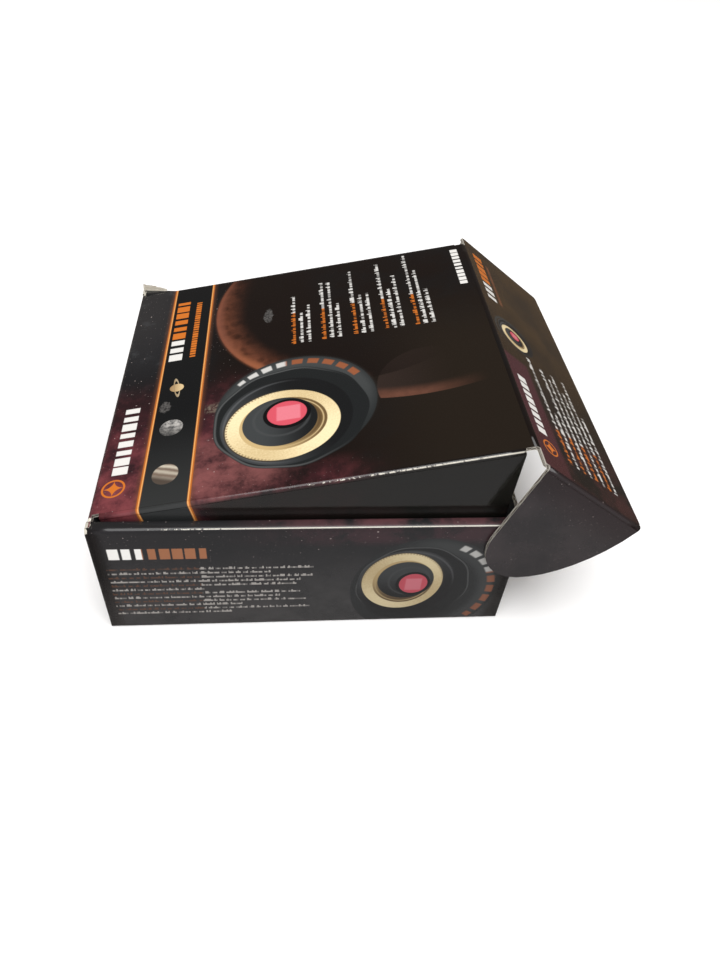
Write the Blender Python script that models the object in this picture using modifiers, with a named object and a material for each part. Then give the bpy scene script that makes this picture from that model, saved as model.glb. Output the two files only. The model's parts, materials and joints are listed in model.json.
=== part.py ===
"""Boxed guide camera: a roll-walled carton with a hinged lid, a foam insert, the camera and its nosepiece.

World frame: origin at the centre of the carton's bottom face, +X towards the opening end,
+Z up. Sizes are in millimetres and become metres in mm(). The carton is modelled shut on
its crease axes, and the empties on those axes then open it to its rest pose.
"""
import math

import bmesh
import bpy
from mathutils import Matrix, Vector
from mathutils.geometry import interpolate_bezier

# ---- carton, driving sizes (mm) ----
LENGTH = 160.0
DEPTH = 162.0
HEIGHT = 59.0
BOARD = 1.5
RIM = 5.6
GAP = 0.3
CREASE = 1.0  # board stops this far short of a crease axis
LID_REACH = 160.4  # lid crease to front panel crease
FRONT_DROP = 57.6
LID_OPEN_DEG = 12.0
FRONT_FOLD_DEG = 48.0
EAR_FOLD_DEG = 90.0
FLAP_DROP = 47.0
FLAP_TAPER_DEG = 13.0
WALL_EAR_REACH = 58.0
TAB_HALF = 10.0
TAB_CENTRES = (-40.0, 40.0)

# ---- carton, worked out ----
HALF_X = LENGTH / 2
HALF_Y = DEPTH / 2
INNER_X = HALF_X - BOARD
POCKET_Y = HALF_Y - BOARD  # inner face of the outer side panel
INNER_Y = HALF_Y - RIM  # face of the rolled wall that looks into the tray
LINER_Y = INNER_Y + BOARD
RIM_Z = HEIGHT - BOARD
HINGE_X = -HALF_X + BOARD / 2
HINGE_Z = HEIGHT - BOARD / 2
WALL_Z = HINGE_Z - CREASE
FLAP_Y = INNER_Y - 0.4 - BOARD / 2  # crease between the lid and a dust flap
EAR_Y = HALF_Y + GAP + BOARD / 2  # crease between the front panel and an ear

# ---- insert ----
FOAM_X = 77.9
FOAM_Y = 73.1
FOAM_BASE_Z = (BOARD + GAP, 13.8)
FOAM_TRAY_Z = (FOAM_BASE_Z[1] + GAP, 45.0)
CAMERA_XY = (34.0, 26.0)
CAMERA_WELL_R = 29.4
FINGER_WELL_R = 10.0
NOSE_XY = (40.0, -38.0)
NOSE_WELL_R = 19.6
CABLE_WELL = ((-68.0, 0.0), (-10.0, 64.0))
CABLE_WELL_CORNER = 8.0

# ---- camera, radii and heights above its own base ----
SHELL_R = 26.5
SHELL_WALL = 2.0
SHELL_FLOOR = 3.2
SHELL_TOP = 16.0
BAND_R = 28.2
BAND_INNER_R = 26.8
BAND_Z = (10.0, 19.0)
BAND_LOBES = 12
BAND_WAVE = 0.5
RING_R = 20.6
RING_BORE_R = 14.8
RING_Z = (25.95, 31.2)
RING_TEETH = 60
RING_TOOTH = 0.35
CELL_R = 14.0
WINDOW_R = 7.6
SCREW_CIRCLE_R = 17.0
SCREW_ANGLES = (80.0, 200.0, 320.0)
BOARD_Z = (8.8, 10.4)
BOARD_R = 22.8
TURN_STEPS = 48
OVERCUT = 1.0


def mm(value):
    return value * 0.001


def reset_scene():
    for item in list(bpy.data.objects):
        bpy.data.objects.remove(item, do_unlink=True)


def new_collection(name):
    group = bpy.data.collections.new(name)
    bpy.context.scene.collection.children.link(group)
    return group


def make_material(name, colour, roughness, metallic=0.0, alpha=1.0):
    surface = bpy.data.materials.new(name)
    surface.use_nodes = True
    shader = surface.node_tree.nodes["Principled BSDF"]
    shader.inputs["Base Color"].default_value = (*colour, 1.0)
    shader.inputs["Roughness"].default_value = roughness
    shader.inputs["Metallic"].default_value = metallic
    shader.inputs["Alpha"].default_value = alpha
    return surface


def place(item, name, surface, parent=None, group=None):
    """Name an object, give it its material and collection, and hang it on its parent."""
    item.name = name
    item.data.name = name
    if surface is not None:
        item.data.materials.append(surface)
    (group or PARTS).objects.link(item)
    item.parent = parent
    return item


def axis_empty(name, location, parent=None, turn=(0.0, 0.0, 0.0)):
    empty = bpy.data.objects.new(name, None)
    empty.empty_display_size = mm(10)
    empty.location = [mm(value) for value in location]
    empty.rotation_euler = [math.radians(value) for value in turn]
    empty.parent = parent
    PARTS.objects.link(empty)
    return empty


def box_mesh(name, low, high):
    """A box between two corners, in mm, as a mesh of its own."""
    shape = bmesh.new()
    bmesh.ops.create_cube(shape, size=1.0)
    size = [mm(b - a) for a, b in zip(low, high)]
    centre = [mm((a + b) / 2) for a, b in zip(low, high)]
    bmesh.ops.scale(shape, vec=size, verts=shape.verts)
    bmesh.ops.translate(shape, vec=centre, verts=shape.verts)
    mesh = bpy.data.meshes.new(name)
    shape.to_mesh(mesh)
    shape.free()
    return mesh


def add_box(name, low, high, surface, parent=None, group=None):
    item = bpy.data.objects.new(name, box_mesh(name, low, high))
    return place(item, name, surface, parent, group)


def add_plate(name, outlines, thickness, surface, parent=None, location=(0, 0, 0), turn=(0, 0, 0)):
    """A flat sheet: closed outlines in its own XY plane, the second and later ones being holes."""
    curve = bpy.data.curves.new(name, "CURVE")
    curve.dimensions = "2D"
    curve.fill_mode = "BOTH"
    curve.extrude = mm(thickness / 2)
    curve.render_resolution_u = 0
    for outline in outlines:
        spline = curve.splines.new("POLY")
        spline.points.add(len(outline) - 1)
        for point, (x, y) in zip(spline.points, outline):
            point.co = (mm(x), mm(y), 0.0, 1.0)
        spline.use_cyclic_u = True
    item = bpy.data.objects.new(name, curve)
    item.location = [mm(value) for value in location]
    item.rotation_euler = [math.radians(value) for value in turn]
    return place(item, name, surface, parent)


def add_turned(name, profile, surface, parent=None, location=(0, 0, 0), ring=True, steps=TURN_STEPS):
    """A turned piece about its own Z axis. profile is (radius, height), down the outer side."""
    mesh = bpy.data.meshes.new(name)
    points = [(mm(r), 0.0, mm(z)) for r, z in profile]
    edges = [(i, i + 1) for i in range(len(points) - 1)]
    if ring:
        edges.append((len(points) - 1, 0))
    mesh.from_pydata(points, edges, [])
    item = bpy.data.objects.new(name, mesh)
    item.location = [mm(value) for value in location]
    screw = item.modifiers.new("Turn", "SCREW")
    screw.axis = "Z"
    screw.steps = steps
    screw.render_steps = steps
    screw.use_merge_vertices = True
    screw.merge_threshold = 0.00001
    return place(item, name, surface, parent)


def add_cylinder(name, radius, low, high, surface, parent=None, centre=(0, 0), sides=32, group=None):
    mesh = bpy.data.meshes.new(name)
    shape = bmesh.new()
    bmesh.ops.create_cone(
        shape, cap_ends=True, segments=sides, radius1=mm(radius), radius2=mm(radius), depth=mm(high - low)
    )
    bmesh.ops.translate(shape, vec=(0, 0, mm((low + high) / 2)), verts=shape.verts)
    shape.to_mesh(mesh)
    shape.free()
    item = bpy.data.objects.new(name, mesh)
    item.location = (mm(centre[0]), mm(centre[1]), 0.0)
    return place(item, name, surface, parent, group)


def combine(item, tools, operation="DIFFERENCE"):
    """Cut or join with tools, which go out of sight in the cutters' collection."""
    for tool in tools:
        tool.hide_render = True
        tool.display_type = "WIRE"
        change = item.modifiers.new("Cut" if operation == "DIFFERENCE" else "Join", "BOOLEAN")
        change.operation = operation
        change.solver = "EXACT"
        change.object = tool


def circle(radius, sides, wave=0.0, lobes=0, centre=(0.0, 0.0)):
    points = []
    for step in range(sides):
        angle = 2 * math.pi * step / sides
        reach = radius + wave * math.cos(lobes * angle)
        points.append((centre[0] + reach * math.cos(angle), centre[1] + reach * math.sin(angle)))
    return points


def rounded(corners, radius, steps=6):
    """The outline through corners, each rounded by an arc that meets both of its sides."""
    outline = []
    count = len(corners)
    for index, corner in enumerate(corners):
        here = Vector(corner)
        back = (Vector(corners[index - 1]) - here).normalized()
        ahead = (Vector(corners[(index + 1) % count]) - here).normalized()
        half = back.angle(ahead) / 2
        inset = radius / math.tan(half)
        centre = here + (back + ahead).normalized() * radius / math.sin(half)
        start = here + back * inset - centre
        end = here + ahead * inset - centre
        sweep = start.angle_signed(end)
        for step in range(steps + 1):
            spoke = start.copy()
            spoke.rotate(Matrix.Rotation(-sweep * step / steps, 2))
            outline.append(tuple(centre + spoke))
    return outline


def ear_outline(side):
    """Lock ear in the front panel's frame: x runs down the panel, y out from its crease."""
    root = Vector((4.5, CREASE))
    shoulder = Vector((13.3, 35.0))
    tip = Vector((31.5, 50.0))
    foot = Vector((FRONT_DROP - 0.4, CREASE))
    first = interpolate_bezier(shoulder, Vector((15.6, 43.5)), Vector((22.5, 50.0)), tip, 12)
    second = interpolate_bezier(tip, Vector((45.5, 50.0)), Vector((59.0, 25.0)), foot, 16)
    return [(p.x, side * p.y) for p in [root, *first, *second[1:]]]


def flap_outline():
    """Dust flap in the lid's frame: x from the lid crease, y up from the flap's own crease."""
    taper = math.tan(math.radians(FLAP_TAPER_DEG)) * FLAP_DROP
    end = LID_REACH - 4.0
    corners = [(3.5, -CREASE), (9.0, -FLAP_DROP), (end - taper, -FLAP_DROP), (end, -CREASE)]
    return rounded(corners, 4.0)


def build_tray(printed):
    """Floor, two end walls with their tucked ears, and two rolled side walls with locking tabs."""
    floor = add_box(
        "tray_floor",
        (-INNER_X + GAP, -POCKET_Y + GAP, 0),
        (INNER_X - GAP, POCKET_Y - GAP, BOARD),
        printed,
    )
    slots = []
    for side in (-1, 1):
        for centre in TAB_CENTRES:
            edges = sorted((side * (INNER_Y - GAP), side * (LINER_Y + GAP)))
            low = (centre - TAB_HALF - GAP, edges[0], -OVERCUT)
            high = (centre + TAB_HALF + GAP, edges[1], BOARD + OVERCUT)
            slots.append(add_box("floor_slot_cutter", low, high, None, group=CUTTERS))
    combine(floor, slots)
    for name, end in (("hinge_wall", -1), ("front_wall", 1)):
        x_low, x_high = sorted((end * INNER_X, end * HALF_X))
        reach_y = POCKET_Y - GAP
        add_box(name, (x_low, -reach_y, 0), (x_high, reach_y, WALL_Z), printed)
        x_low, x_high = sorted((end * (INNER_X - GAP), end * (INNER_X - WALL_EAR_REACH)))
        for side_name, side in (("near", -1), ("far", 1)):
            y_low, y_high = sorted((side * (POCKET_Y - 0.4), side * (POCKET_Y - 0.4 - BOARD)))
            corners = [(x_low, 3), (x_high, 3), (x_high, RIM_Z - 1), (x_low, RIM_Z - 1)]
            add_plate(
                f"{name}_{side_name}_ear",
                [rounded(corners, 2.0, 3)],
                BOARD,
                printed,
                location=(0, (y_low + y_high) / 2, 0),
                turn=(90, 0, 0),
            )
    for side_name, side in (("near", -1), ("far", 1)):
        build_rolled_wall(f"{side_name}_side_wall", side, printed)


def build_rolled_wall(name, side, printed):
    """Outer panel, rim strip and lining in one roll, open below, with two tabs through the floor."""
    outer = side * HALF_Y
    inner = side * INNER_Y
    y_low, y_high = sorted((outer, inner))
    wall = add_box(name, (-HALF_X, y_low, 0), (HALF_X, y_high, HEIGHT), printed)
    cuts = []
    y_low, y_high = sorted((side * POCKET_Y, side * LINER_Y))
    cuts.append(((-HALF_X - OVERCUT, y_low, -OVERCUT), (HALF_X + OVERCUT, y_high, RIM_Z)))
    y_low, y_high = sorted((side * POCKET_Y, side * (INNER_Y - OVERCUT)))
    for end in (-1, 1):
        x_low, x_high = sorted((end * (INNER_X - GAP), end * (HALF_X + OVERCUT)))
        cuts.append(((x_low, y_low, -OVERCUT), (x_high, y_high, RIM_Z)))
    stops = [-HALF_X - OVERCUT]
    for centre in TAB_CENTRES:
        stops += [centre - TAB_HALF, centre + TAB_HALF]
    stops.append(HALF_X + OVERCUT)
    for x_low, x_high in zip(stops[0::2], stops[1::2]):
        cuts.append(((x_low, y_low, -OVERCUT), (x_high, y_high, BOARD + GAP)))
    cuts.append(((-HALF_X, y_low, -OVERCUT), (HALF_X, y_high, GAP)))
    tools = [add_box(f"{name}_cutter", low, high, None, group=CUTTERS) for low, high in cuts]
    combine(wall, tools)


def build_lid(printed):
    """Lid with its dust flaps, and the front panel with its ears, each on its crease axis."""
    lid_axis = axis_empty("lid_axis", (HINGE_X, 0, HINGE_Z), turn=(0, -LID_OPEN_DEG, 0))
    half = BOARD / 2
    low = (CREASE, -FLAP_Y + CREASE, -half)
    high = (LID_REACH - CREASE, FLAP_Y - CREASE, half)
    add_box("lid_panel", low, high, printed, lid_axis)
    for side_name, side in (("near", -1), ("far", 1)):
        add_plate(
            f"lid_{side_name}_dust_flap",
            [flap_outline()],
            BOARD,
            printed,
            lid_axis,
            location=(0, side * FLAP_Y, 0),
            turn=(90, 0, 0),
        )
    panel_axis = axis_empty("front_panel_axis", (LID_REACH, 0, 0), lid_axis, (0, FRONT_FOLD_DEG, 0))
    low = (CREASE, -EAR_Y + CREASE, -half)
    high = (FRONT_DROP, EAR_Y - CREASE, half)
    add_box("lid_front_panel", low, high, printed, panel_axis)
    for side_name, side in (("near", -1), ("far", 1)):
        ear_axis = axis_empty(
            f"{side_name}_ear_axis", (0, side * EAR_Y, 0), panel_axis, (-side * EAR_FOLD_DEG, 0, 0)
        )
        add_plate(f"{side_name}_lock_ear", [ear_outline(side)], BOARD, printed, ear_axis)


def build_insert(foam):
    add_box(
        "foam_base",
        (-FOAM_X, -FOAM_Y, FOAM_BASE_Z[0]),
        (FOAM_X, FOAM_Y, FOAM_BASE_Z[1]),
        foam,
    )
    low_z, high_z = FOAM_TRAY_Z
    tray = add_box("foam_tray", (-FOAM_X, -FOAM_Y, low_z), (FOAM_X, FOAM_Y, high_z), foam)
    reach = (low_z - OVERCUT, high_z + OVERCUT)
    wells = [
        add_cylinder(
            "camera_well", CAMERA_WELL_R, *reach, None, centre=CAMERA_XY, sides=TURN_STEPS, group=CUTTERS
        ),
        add_cylinder("nosepiece_well", NOSE_WELL_R, *reach, None, centre=NOSE_XY, group=CUTTERS),
    ]
    for side in (-1, 1):
        centre = (CAMERA_XY[0], CAMERA_XY[1] + side * CAMERA_WELL_R)
        wells.append(
            add_cylinder("finger_well", FINGER_WELL_R, *reach, None, centre=centre, group=CUTTERS)
        )
    (x_low, y_low), (x_high, y_high) = CABLE_WELL
    well = add_box("cable_well", (x_low, y_low, reach[0]), (x_high, y_high, reach[1]), None, group=CUTTERS)
    bevel = well.modifiers.new("Round corners", "BEVEL")
    bevel.width = mm(CABLE_WELL_CORNER)
    bevel.segments = 5
    bevel.limit_method = "WEIGHT"
    weights = well.data.attributes.new("bevel_weight_edge", "FLOAT", "EDGE")
    for edge in well.data.edges:
        a, b = (well.data.vertices[index].co for index in edge.vertices)
        weights.data[edge.index].value = 1.0 if abs(a.z - b.z) > mm(OVERCUT) else 0.0
    wells.append(well)
    combine(tray, wells)


def build_camera_case(base, black, rubber, brass):
    """Rear shell, front bezel, seal, grip band, and the brass ring that turns on the filter cell."""
    r, wall = SHELL_R, SHELL_WALL
    shell = add_turned(
        "camera_rear_shell",
        [
            (0, SHELL_FLOOR),
            (r - wall, SHELL_FLOOR),
            (r - wall, SHELL_TOP - 1.2),
            (r - 0.6, SHELL_TOP - 1.2),
            (r - 0.6, SHELL_TOP),
            (r, SHELL_TOP),
            (r, 3.0),
            (r - 0.9, 0.9),
            (r - 3.0, 0),
            (0, 0),
        ],
        black,
        base,
        ring=False,
    )
    cuts = [
        add_box(
            "usb_port_cutter", (20, -4.4, 3.9), (28, 4.4, 9.0), None, base, group=CUTTERS
        )
    ]
    for x, y in screw_centres():
        for radius, low, high in ((2.6, -OVERCUT, 1.8), (1.6, -OVERCUT, SHELL_FLOOR + OVERCUT)):
            cuts.append(
                add_cylinder("case_screw_cutter", radius, low, high, None, base, (x, y), 16, CUTTERS)
            )
    combine(shell, cuts)
    add_turned(
        "camera_front_bezel",
        [
            (14.3, 25.6),
            (21.1, 25.6),
            (21.3, 24.2),
            (22.0, 24.0),
            (22.7, 24.4),
            (24.3, 23.6),
            (25.7, 21.9),
            (r, 19.3),
            (r, SHELL_TOP + GAP),
            (r - wall - GAP, SHELL_TOP + GAP),
            (r - wall - GAP, 13.0),
            (22.2, 13.0),
            (22.2, 19.5),
            (20.2, 22.4),
            (14.3, 23.2),
        ],
        black,
        base,
    )
    seal = [(25.2 + 0.48 * math.sin(a), 15.45 + 0.48 * math.cos(a)) for a in
            (2 * math.pi * step / 8 for step in range(8))]
    add_turned("case_seal", seal, rubber, base)
    band_height = BAND_Z[1] - BAND_Z[0]
    add_plate(
        "camera_grip_band",
        [circle(BAND_R, 96, BAND_WAVE, BAND_LOBES), circle(BAND_INNER_R, TURN_STEPS)],
        band_height,
        rubber,
        base,
        location=(0, 0, sum(BAND_Z) / 2),
    )
    ring_axis = axis_empty("adapter_ring_axis", (0, 0, 0), base)
    add_plate(
        "adapter_ring",
        [circle(RING_R, 2 * RING_TEETH, RING_TOOTH, RING_TEETH), circle(RING_BORE_R, TURN_STEPS)],
        RING_Z[1] - RING_Z[0],
        brass,
        ring_axis,
        location=(0, 0, sum(RING_Z) / 2),
    )


def screw_centres():
    angles = [math.radians(angle) for angle in SCREW_ANGLES]
    return [(SCREW_CIRCLE_R * math.cos(a), SCREW_CIRCLE_R * math.sin(a)) for a in angles]


def build_camera_optics(base, black, glass, steel):
    add_turned(
        "filter_cell",
        [
            (12.8, 29.2),
            (CELL_R, 29.2),
            (CELL_R, 20.0),
            (6.8, 20.0),
            (6.8, 23.6),
            (8.1, 23.6),
            (8.1, 26.4),
            (9.0, 26.4),
            (9.4, 24.4),
            (12.4, 25.2),
        ],
        black,
        base,
    )
    add_cylinder("filter_window", WINDOW_R, 23.9, 25.0, glass, base, sides=TURN_STEPS)
    add_turned(
        "window_retaining_ring",
        [(6.9, 25.9), (7.8, 25.9), (7.8, 25.3), (6.9, 25.3)],
        steel,
        base,
    )


def build_camera_electronics(base, board, ceramic, glass, steel, black):
    """Boards, sensor, port and the three stacks of screw, standoff and nut that hold them."""
    main = add_cylinder("usb_board", BOARD_R, *BOARD_Z, board, base, sides=TURN_STEPS)
    holes = [
        add_cylinder("board_hole_cutter", 1.5, 8, 11, None, base, centre, 16, CUTTERS)
        for centre in screw_centres()
    ]
    combine(main, holes)
    add_box("board_header", (-6, -11, 10.7), (6, -7, 14.7), black, base)
    add_cylinder("sensor_board", 15.0, 15.0, 16.2, board, base)
    add_box("image_sensor", (-5.5, -5, 16.5), (5.5, 5, 17.9), ceramic, base)
    add_box("sensor_cover_glass", (-4.2, -3.7, 18.2), (4.2, 3.7, 18.7), glass, base)
    port = add_box("usb_port", (17.6, -3.9, 4.4), (26.2, 3.9, 8.5), steel, base)
    combine(port, [add_box("usb_mouth_cutter", (19, -3.4, 4.9), (27, 3.4, 8.0), None, base, group=CUTTERS)])
    for index, (x, y) in enumerate(screw_centres(), 1):
        add_turned(
            f"case_screw_{index}",
            [(0, 13.0), (1.2, 13.0), (1.2, 1.5), (2.2, 1.5), (2.2, 0.4), (0, 0.4)],
            steel,
            base,
            (x, y, 0),
            ring=False,
            steps=16,
        )
        tube = [(1.5, 8.5), (2.8, 8.5), (2.8, SHELL_FLOOR + GAP), (1.5, SHELL_FLOOR + GAP)]
        add_turned(f"board_standoff_{index}", tube, steel, base, (x, y, 0), steps=16)
        add_plate(
            f"board_nut_{index}",
            [circle(2.6, 6), circle(1.5, 16)],
            2.0,
            steel,
            base,
            location=(x, y, 11.7),
        )


def build_nosepiece(base, chrome):
    """The 1.25 inch barrel that screws into the adapter ring, standing on its threaded end."""
    add_turned(
        "nosepiece",
        [
            (13.0, 29.2),
            (15.3, 29.2),
            (15.85, 28.6),
            (15.85, 19.0),
            (15.2, 18.2),
            (15.2, 14.0),
            (15.85, 13.2),
            (15.85, 6.5),
            (17.8, 6.5),
            (17.8, 3.0),
            (14.2, 3.0),
            (14.2, 0),
            (13.0, 0),
        ],
        chrome,
        base,
    )


reset_scene()
PARTS = new_collection("boxed_guide_camera")
CUTTERS = new_collection("cutters")

printed_board = make_material("printed_board", (0.03, 0.022, 0.026), 0.22)
foam = make_material("insert_foam", (0.025, 0.025, 0.027), 0.95)
black_alloy = make_material("black_anodised", (0.018, 0.019, 0.02), 0.42, 0.6)
grip_rubber = make_material("grip_rubber", (0.03, 0.031, 0.033), 0.7)
brass = make_material("brass", (0.78, 0.60, 0.30), 0.28, 1.0)
bright_steel = make_material("bright_steel", (0.62, 0.62, 0.63), 0.25, 1.0)
chrome = make_material("chrome", (0.72, 0.72, 0.74), 0.12, 1.0)
window_glass = make_material("window_glass", (0.75, 0.16, 0.20), 0.06, 0.0, 0.5)
clear_glass = make_material("clear_glass", (0.80, 0.85, 0.88), 0.06, 0.0, 0.35)
circuit_board = make_material("circuit_board", (0.02, 0.10, 0.05), 0.45)
sensor_ceramic = make_material("sensor_ceramic", (0.10, 0.10, 0.12), 0.5)
black_plastic = make_material("black_plastic", (0.02, 0.02, 0.02), 0.5)

build_tray(printed_board)
build_lid(printed_board)
build_insert(foam)
camera_base = axis_empty("camera_base", (*CAMERA_XY, FOAM_TRAY_Z[0]))
build_camera_case(camera_base, black_alloy, grip_rubber, brass)
build_camera_optics(camera_base, black_alloy, window_glass, bright_steel)
build_camera_electronics(
    camera_base, circuit_board, sensor_ceramic, clear_glass, bright_steel, black_plastic
)
nose_base = axis_empty("nosepiece_base", (*NOSE_XY, FOAM_TRAY_Z[0]))
build_nosepiece(nose_base, chrome)
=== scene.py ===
"""A guide camera in its printed carton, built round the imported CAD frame.

The carton is one blank of thin corrugated board: a tray with rolled side walls, and a hinged
lid with dust flaps, a tucked front panel and two lock ears. The camera and its nosepiece lie in
cut foam inside. Sizes in this file are in millimetres unless a name says otherwise.
"""
import json
import math

import bmesh
import bpy
from mathutils import Matrix, Vector, noise


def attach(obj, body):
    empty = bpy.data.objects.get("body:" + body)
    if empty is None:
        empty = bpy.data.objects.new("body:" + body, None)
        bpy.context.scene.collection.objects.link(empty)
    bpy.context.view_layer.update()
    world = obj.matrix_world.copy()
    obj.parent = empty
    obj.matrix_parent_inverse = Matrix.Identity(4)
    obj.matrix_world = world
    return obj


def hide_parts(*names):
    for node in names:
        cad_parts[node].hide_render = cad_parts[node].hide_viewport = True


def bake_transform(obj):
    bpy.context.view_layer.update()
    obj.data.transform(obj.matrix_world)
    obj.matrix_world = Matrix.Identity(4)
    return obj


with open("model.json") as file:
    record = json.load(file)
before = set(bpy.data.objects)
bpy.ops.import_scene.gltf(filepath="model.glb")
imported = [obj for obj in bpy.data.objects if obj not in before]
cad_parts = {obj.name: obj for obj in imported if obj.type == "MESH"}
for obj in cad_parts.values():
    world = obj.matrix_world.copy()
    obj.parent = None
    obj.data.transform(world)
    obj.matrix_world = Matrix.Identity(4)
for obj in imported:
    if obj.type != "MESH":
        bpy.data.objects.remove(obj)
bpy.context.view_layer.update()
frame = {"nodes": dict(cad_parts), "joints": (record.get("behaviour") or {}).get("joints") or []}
NODES = frame["nodes"]
JOINTS = {joint["name"]: joint for joint in frame["joints"]}

# ---------------- sizes of the carton

MM = 0.001
BOARD = 1.5
HALF_BOARD = BOARD / 2
CREASE = 1.0
FLUTE_PITCH = 3.3
MESH_STEP = 8.0
HALF_LENGTH = 80.0
HALF_WIDTH = 81.0
WALL_TOP = 59.0
RIM = 5.6
RIM_INNER = HALF_WIDTH - RIM
LINING_FOOT = 1.8
FLOOR_HALF_WIDTH = 79.2
LID_HALF_WIDTH = 73.25
FLAP_FOLD = 74.25
PANEL_HALF_WIDTH = 81.05
EAR_FOLD = 82.05
FOLD_RADIUS = 1.3
ARC_STEPS = 5
CURVE_STEPS = 10
CREASE_STEPS = 10
TRAY_FOLD = 58.25
STRIP_MIDDLE = -(TRAY_FOLD + HALF_LENGTH)
STRIP_END_FOLD = TRAY_FOLD + 2 * HALF_LENGTH
FLAP_START, FLAP_END = 3.5, 156.4
FLAP_DEPTH = 47.0
EAR_START, EAR_END = 2.8, 57.2
SIDES = (("near", -1), ("far", 1))

# ---------------- colours, as linear light

ORANGE = (0.58, 0.16, 0.022)
CREAM = (0.78, 0.40, 0.13)
WHITE = (0.74, 0.73, 0.70)
FADED = (0.33, 0.31, 0.29)
RUST = (0.17, 0.065, 0.030)
MAROON = (0.070, 0.018, 0.024)
ROSE = (0.20, 0.050, 0.056)
PURPLE = (0.022, 0.010, 0.014)
BROWN = (0.007, 0.0045, 0.004)
NIGHT = (0.009, 0.011, 0.014)
BLACK = (0.006, 0.007, 0.008)
CHARCOAL = (0.009, 0.009, 0.010)
PAPER = (0.70, 0.67, 0.58)
LINER = (0.62, 0.59, 0.52)


# ---------------- shader sums


class Ink:
    """A number or a colour inside a material, so that a shader sum reads as an ordinary sum."""

    def __init__(self, tree, socket):
        self.tree = tree
        self.socket = socket

    def __add__(self, other):
        return sums("ADD", self, other)

    def __radd__(self, other):
        return sums("ADD", other, self)

    def __sub__(self, other):
        return sums("SUBTRACT", self, other)

    def __rsub__(self, other):
        return sums("SUBTRACT", other, self)

    def __mul__(self, other):
        return sums("MULTIPLY", self, other)

    def __rmul__(self, other):
        return sums("MULTIPLY", other, self)

    def __truediv__(self, other):
        return sums("DIVIDE", self, other)


def join(tree, value, socket):
    """Links an ink to a socket, or sets the socket to a plain value."""
    if isinstance(value, Ink):
        tree.links.new(value.socket, socket)
    else:
        socket.default_value = value


def add_node(tree, kind, inputs, **settings):
    """A new shader node with its settings, its inputs filled by name or number."""
    node = tree.nodes.new("ShaderNode" + kind)
    for name, value in settings.items():
        setattr(node, name, value)
    for name, value in inputs.items():
        join(tree, value, node.inputs[name])
    return node


def sums(operation, *values):
    """One Math node on numbers and inks."""
    tree = next(value.tree for value in values if isinstance(value, Ink))
    node = add_node(tree, "Math", dict(enumerate(values)), operation=operation)
    return Ink(tree, node.outputs[0])


def step_between(value, edge, soft, low, high):
    """A smooth step from low to high, centred on edge and soft wide."""
    ends = {"From Min": edge - soft / 2, "From Max": edge + soft / 2, "To Min": low, "To Max": high}
    node = add_node(value.tree, "MapRange", {"Value": value, **ends}, interpolation_type="SMOOTHSTEP")
    return Ink(value.tree, node.outputs["Result"])


def rise(value, edge, soft):
    """0 below edge and 1 above it, over a soft step."""
    return step_between(value, edge, soft, 0.0, 1.0)


def fall(value, edge, soft):
    """1 below edge and 0 above it."""
    return step_between(value, edge, soft, 1.0, 0.0)


def between(value, low, high, soft=0.3):
    """1 from low to high and 0 outside them."""
    return rise(value, low, soft) * fall(value, high, soft)


def floored(value):
    return sums("FLOOR", value)


def length(a, b):
    return sums("SQRT", sums("MULTIPLY_ADD", a, a, b * b))


def reach(u, v, centre, semi):
    """How far out a point is from an ellipse's centre: 1 on the ellipse."""
    across = sums("MULTIPLY_ADD", u, 1 / semi[0], -centre[0] / semi[0])
    down = sums("MULTIPLY_ADD", v, 1 / semi[1], -centre[1] / semi[1])
    return length(across, down)


def disc(u, v, centre, semi, soft=0.05):
    """1 inside an ellipse and 0 outside it."""
    return fall(reach(u, v, centre, semi), 1.0, soft)


def joined(a, b):
    """A vector from two numbers."""
    node = add_node(a.tree, "CombineXYZ", {0: a, 1: b})
    return Ink(a.tree, node.outputs[0])


def clouds(vector, scale, detail=3.0, rough=0.55):
    """Soft noise from 0 to 1, with scale in cycles per millimetre."""
    inputs = {"Vector": vector, "Scale": scale, "Detail": detail, "Roughness": rough}
    return Ink(vector.tree, add_node(vector.tree, "TexNoise", inputs).outputs["Fac"])


def dice(a, b):
    """A random number from 0 to 1 that is fixed for each whole a and b."""
    mixed = sums("MULTIPLY_ADD", b, 157.31, a)
    node = add_node(mixed.tree, "TexWhiteNoise", {"W": mixed}, noise_dimensions="1D")
    return Ink(mixed.tree, node.outputs["Value"])


def ripples(value, scale, detail):
    """Soft noise along one line."""
    inputs = {"W": value, "Scale": scale, "Detail": detail}
    return Ink(value.tree, add_node(value.tree, "TexNoise", inputs, noise_dimensions="1D").outputs["Fac"])


def cells(vector, scale):
    """Distance to the nearest of a scatter of points, and a random number for that point."""
    tree = vector.tree
    node = add_node(tree, "TexVoronoi", {"Vector": vector, "Scale": scale})
    split = add_node(tree, "SeparateColor", {0: Ink(tree, node.outputs["Color"])})
    return Ink(tree, node.outputs["Distance"]), Ink(tree, split.outputs[0])


def blended(low, high, share):
    """Two colours mixed by share."""
    low, high = [colour if isinstance(colour, Ink) else (*colour, 1.0) for colour in (low, high)]
    node = add_node(share.tree, "Mix", {0: share, 6: low, 7: high}, data_type="RGBA")
    return Ink(share.tree, node.outputs[2])


# ---------------- the printed pictures


class Picture:
    """A printed picture, painted from the back to the front on a sheet's own millimetres."""

    def __init__(self, s, t, ground):
        self.s = s
        self.t = t
        self.sheet = Ink(s.tree, s.tree.nodes["sheet map"].outputs[0])
        self.colour = ground

    def lay(self, colour, mask):
        self.colour = blended(self.colour, colour, mask)

    def stars(self, density, size, strength, share):
        """Small pale stars, some of the cells of a scatter with density cells per millimetre."""
        near, pick = cells(self.sheet, density)
        chosen = rise(pick, 0.60, 0.35) * strength
        self.lay((0.66, 0.55, 0.52), fall(near, size * density, size * density) * chosen * share)


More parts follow.
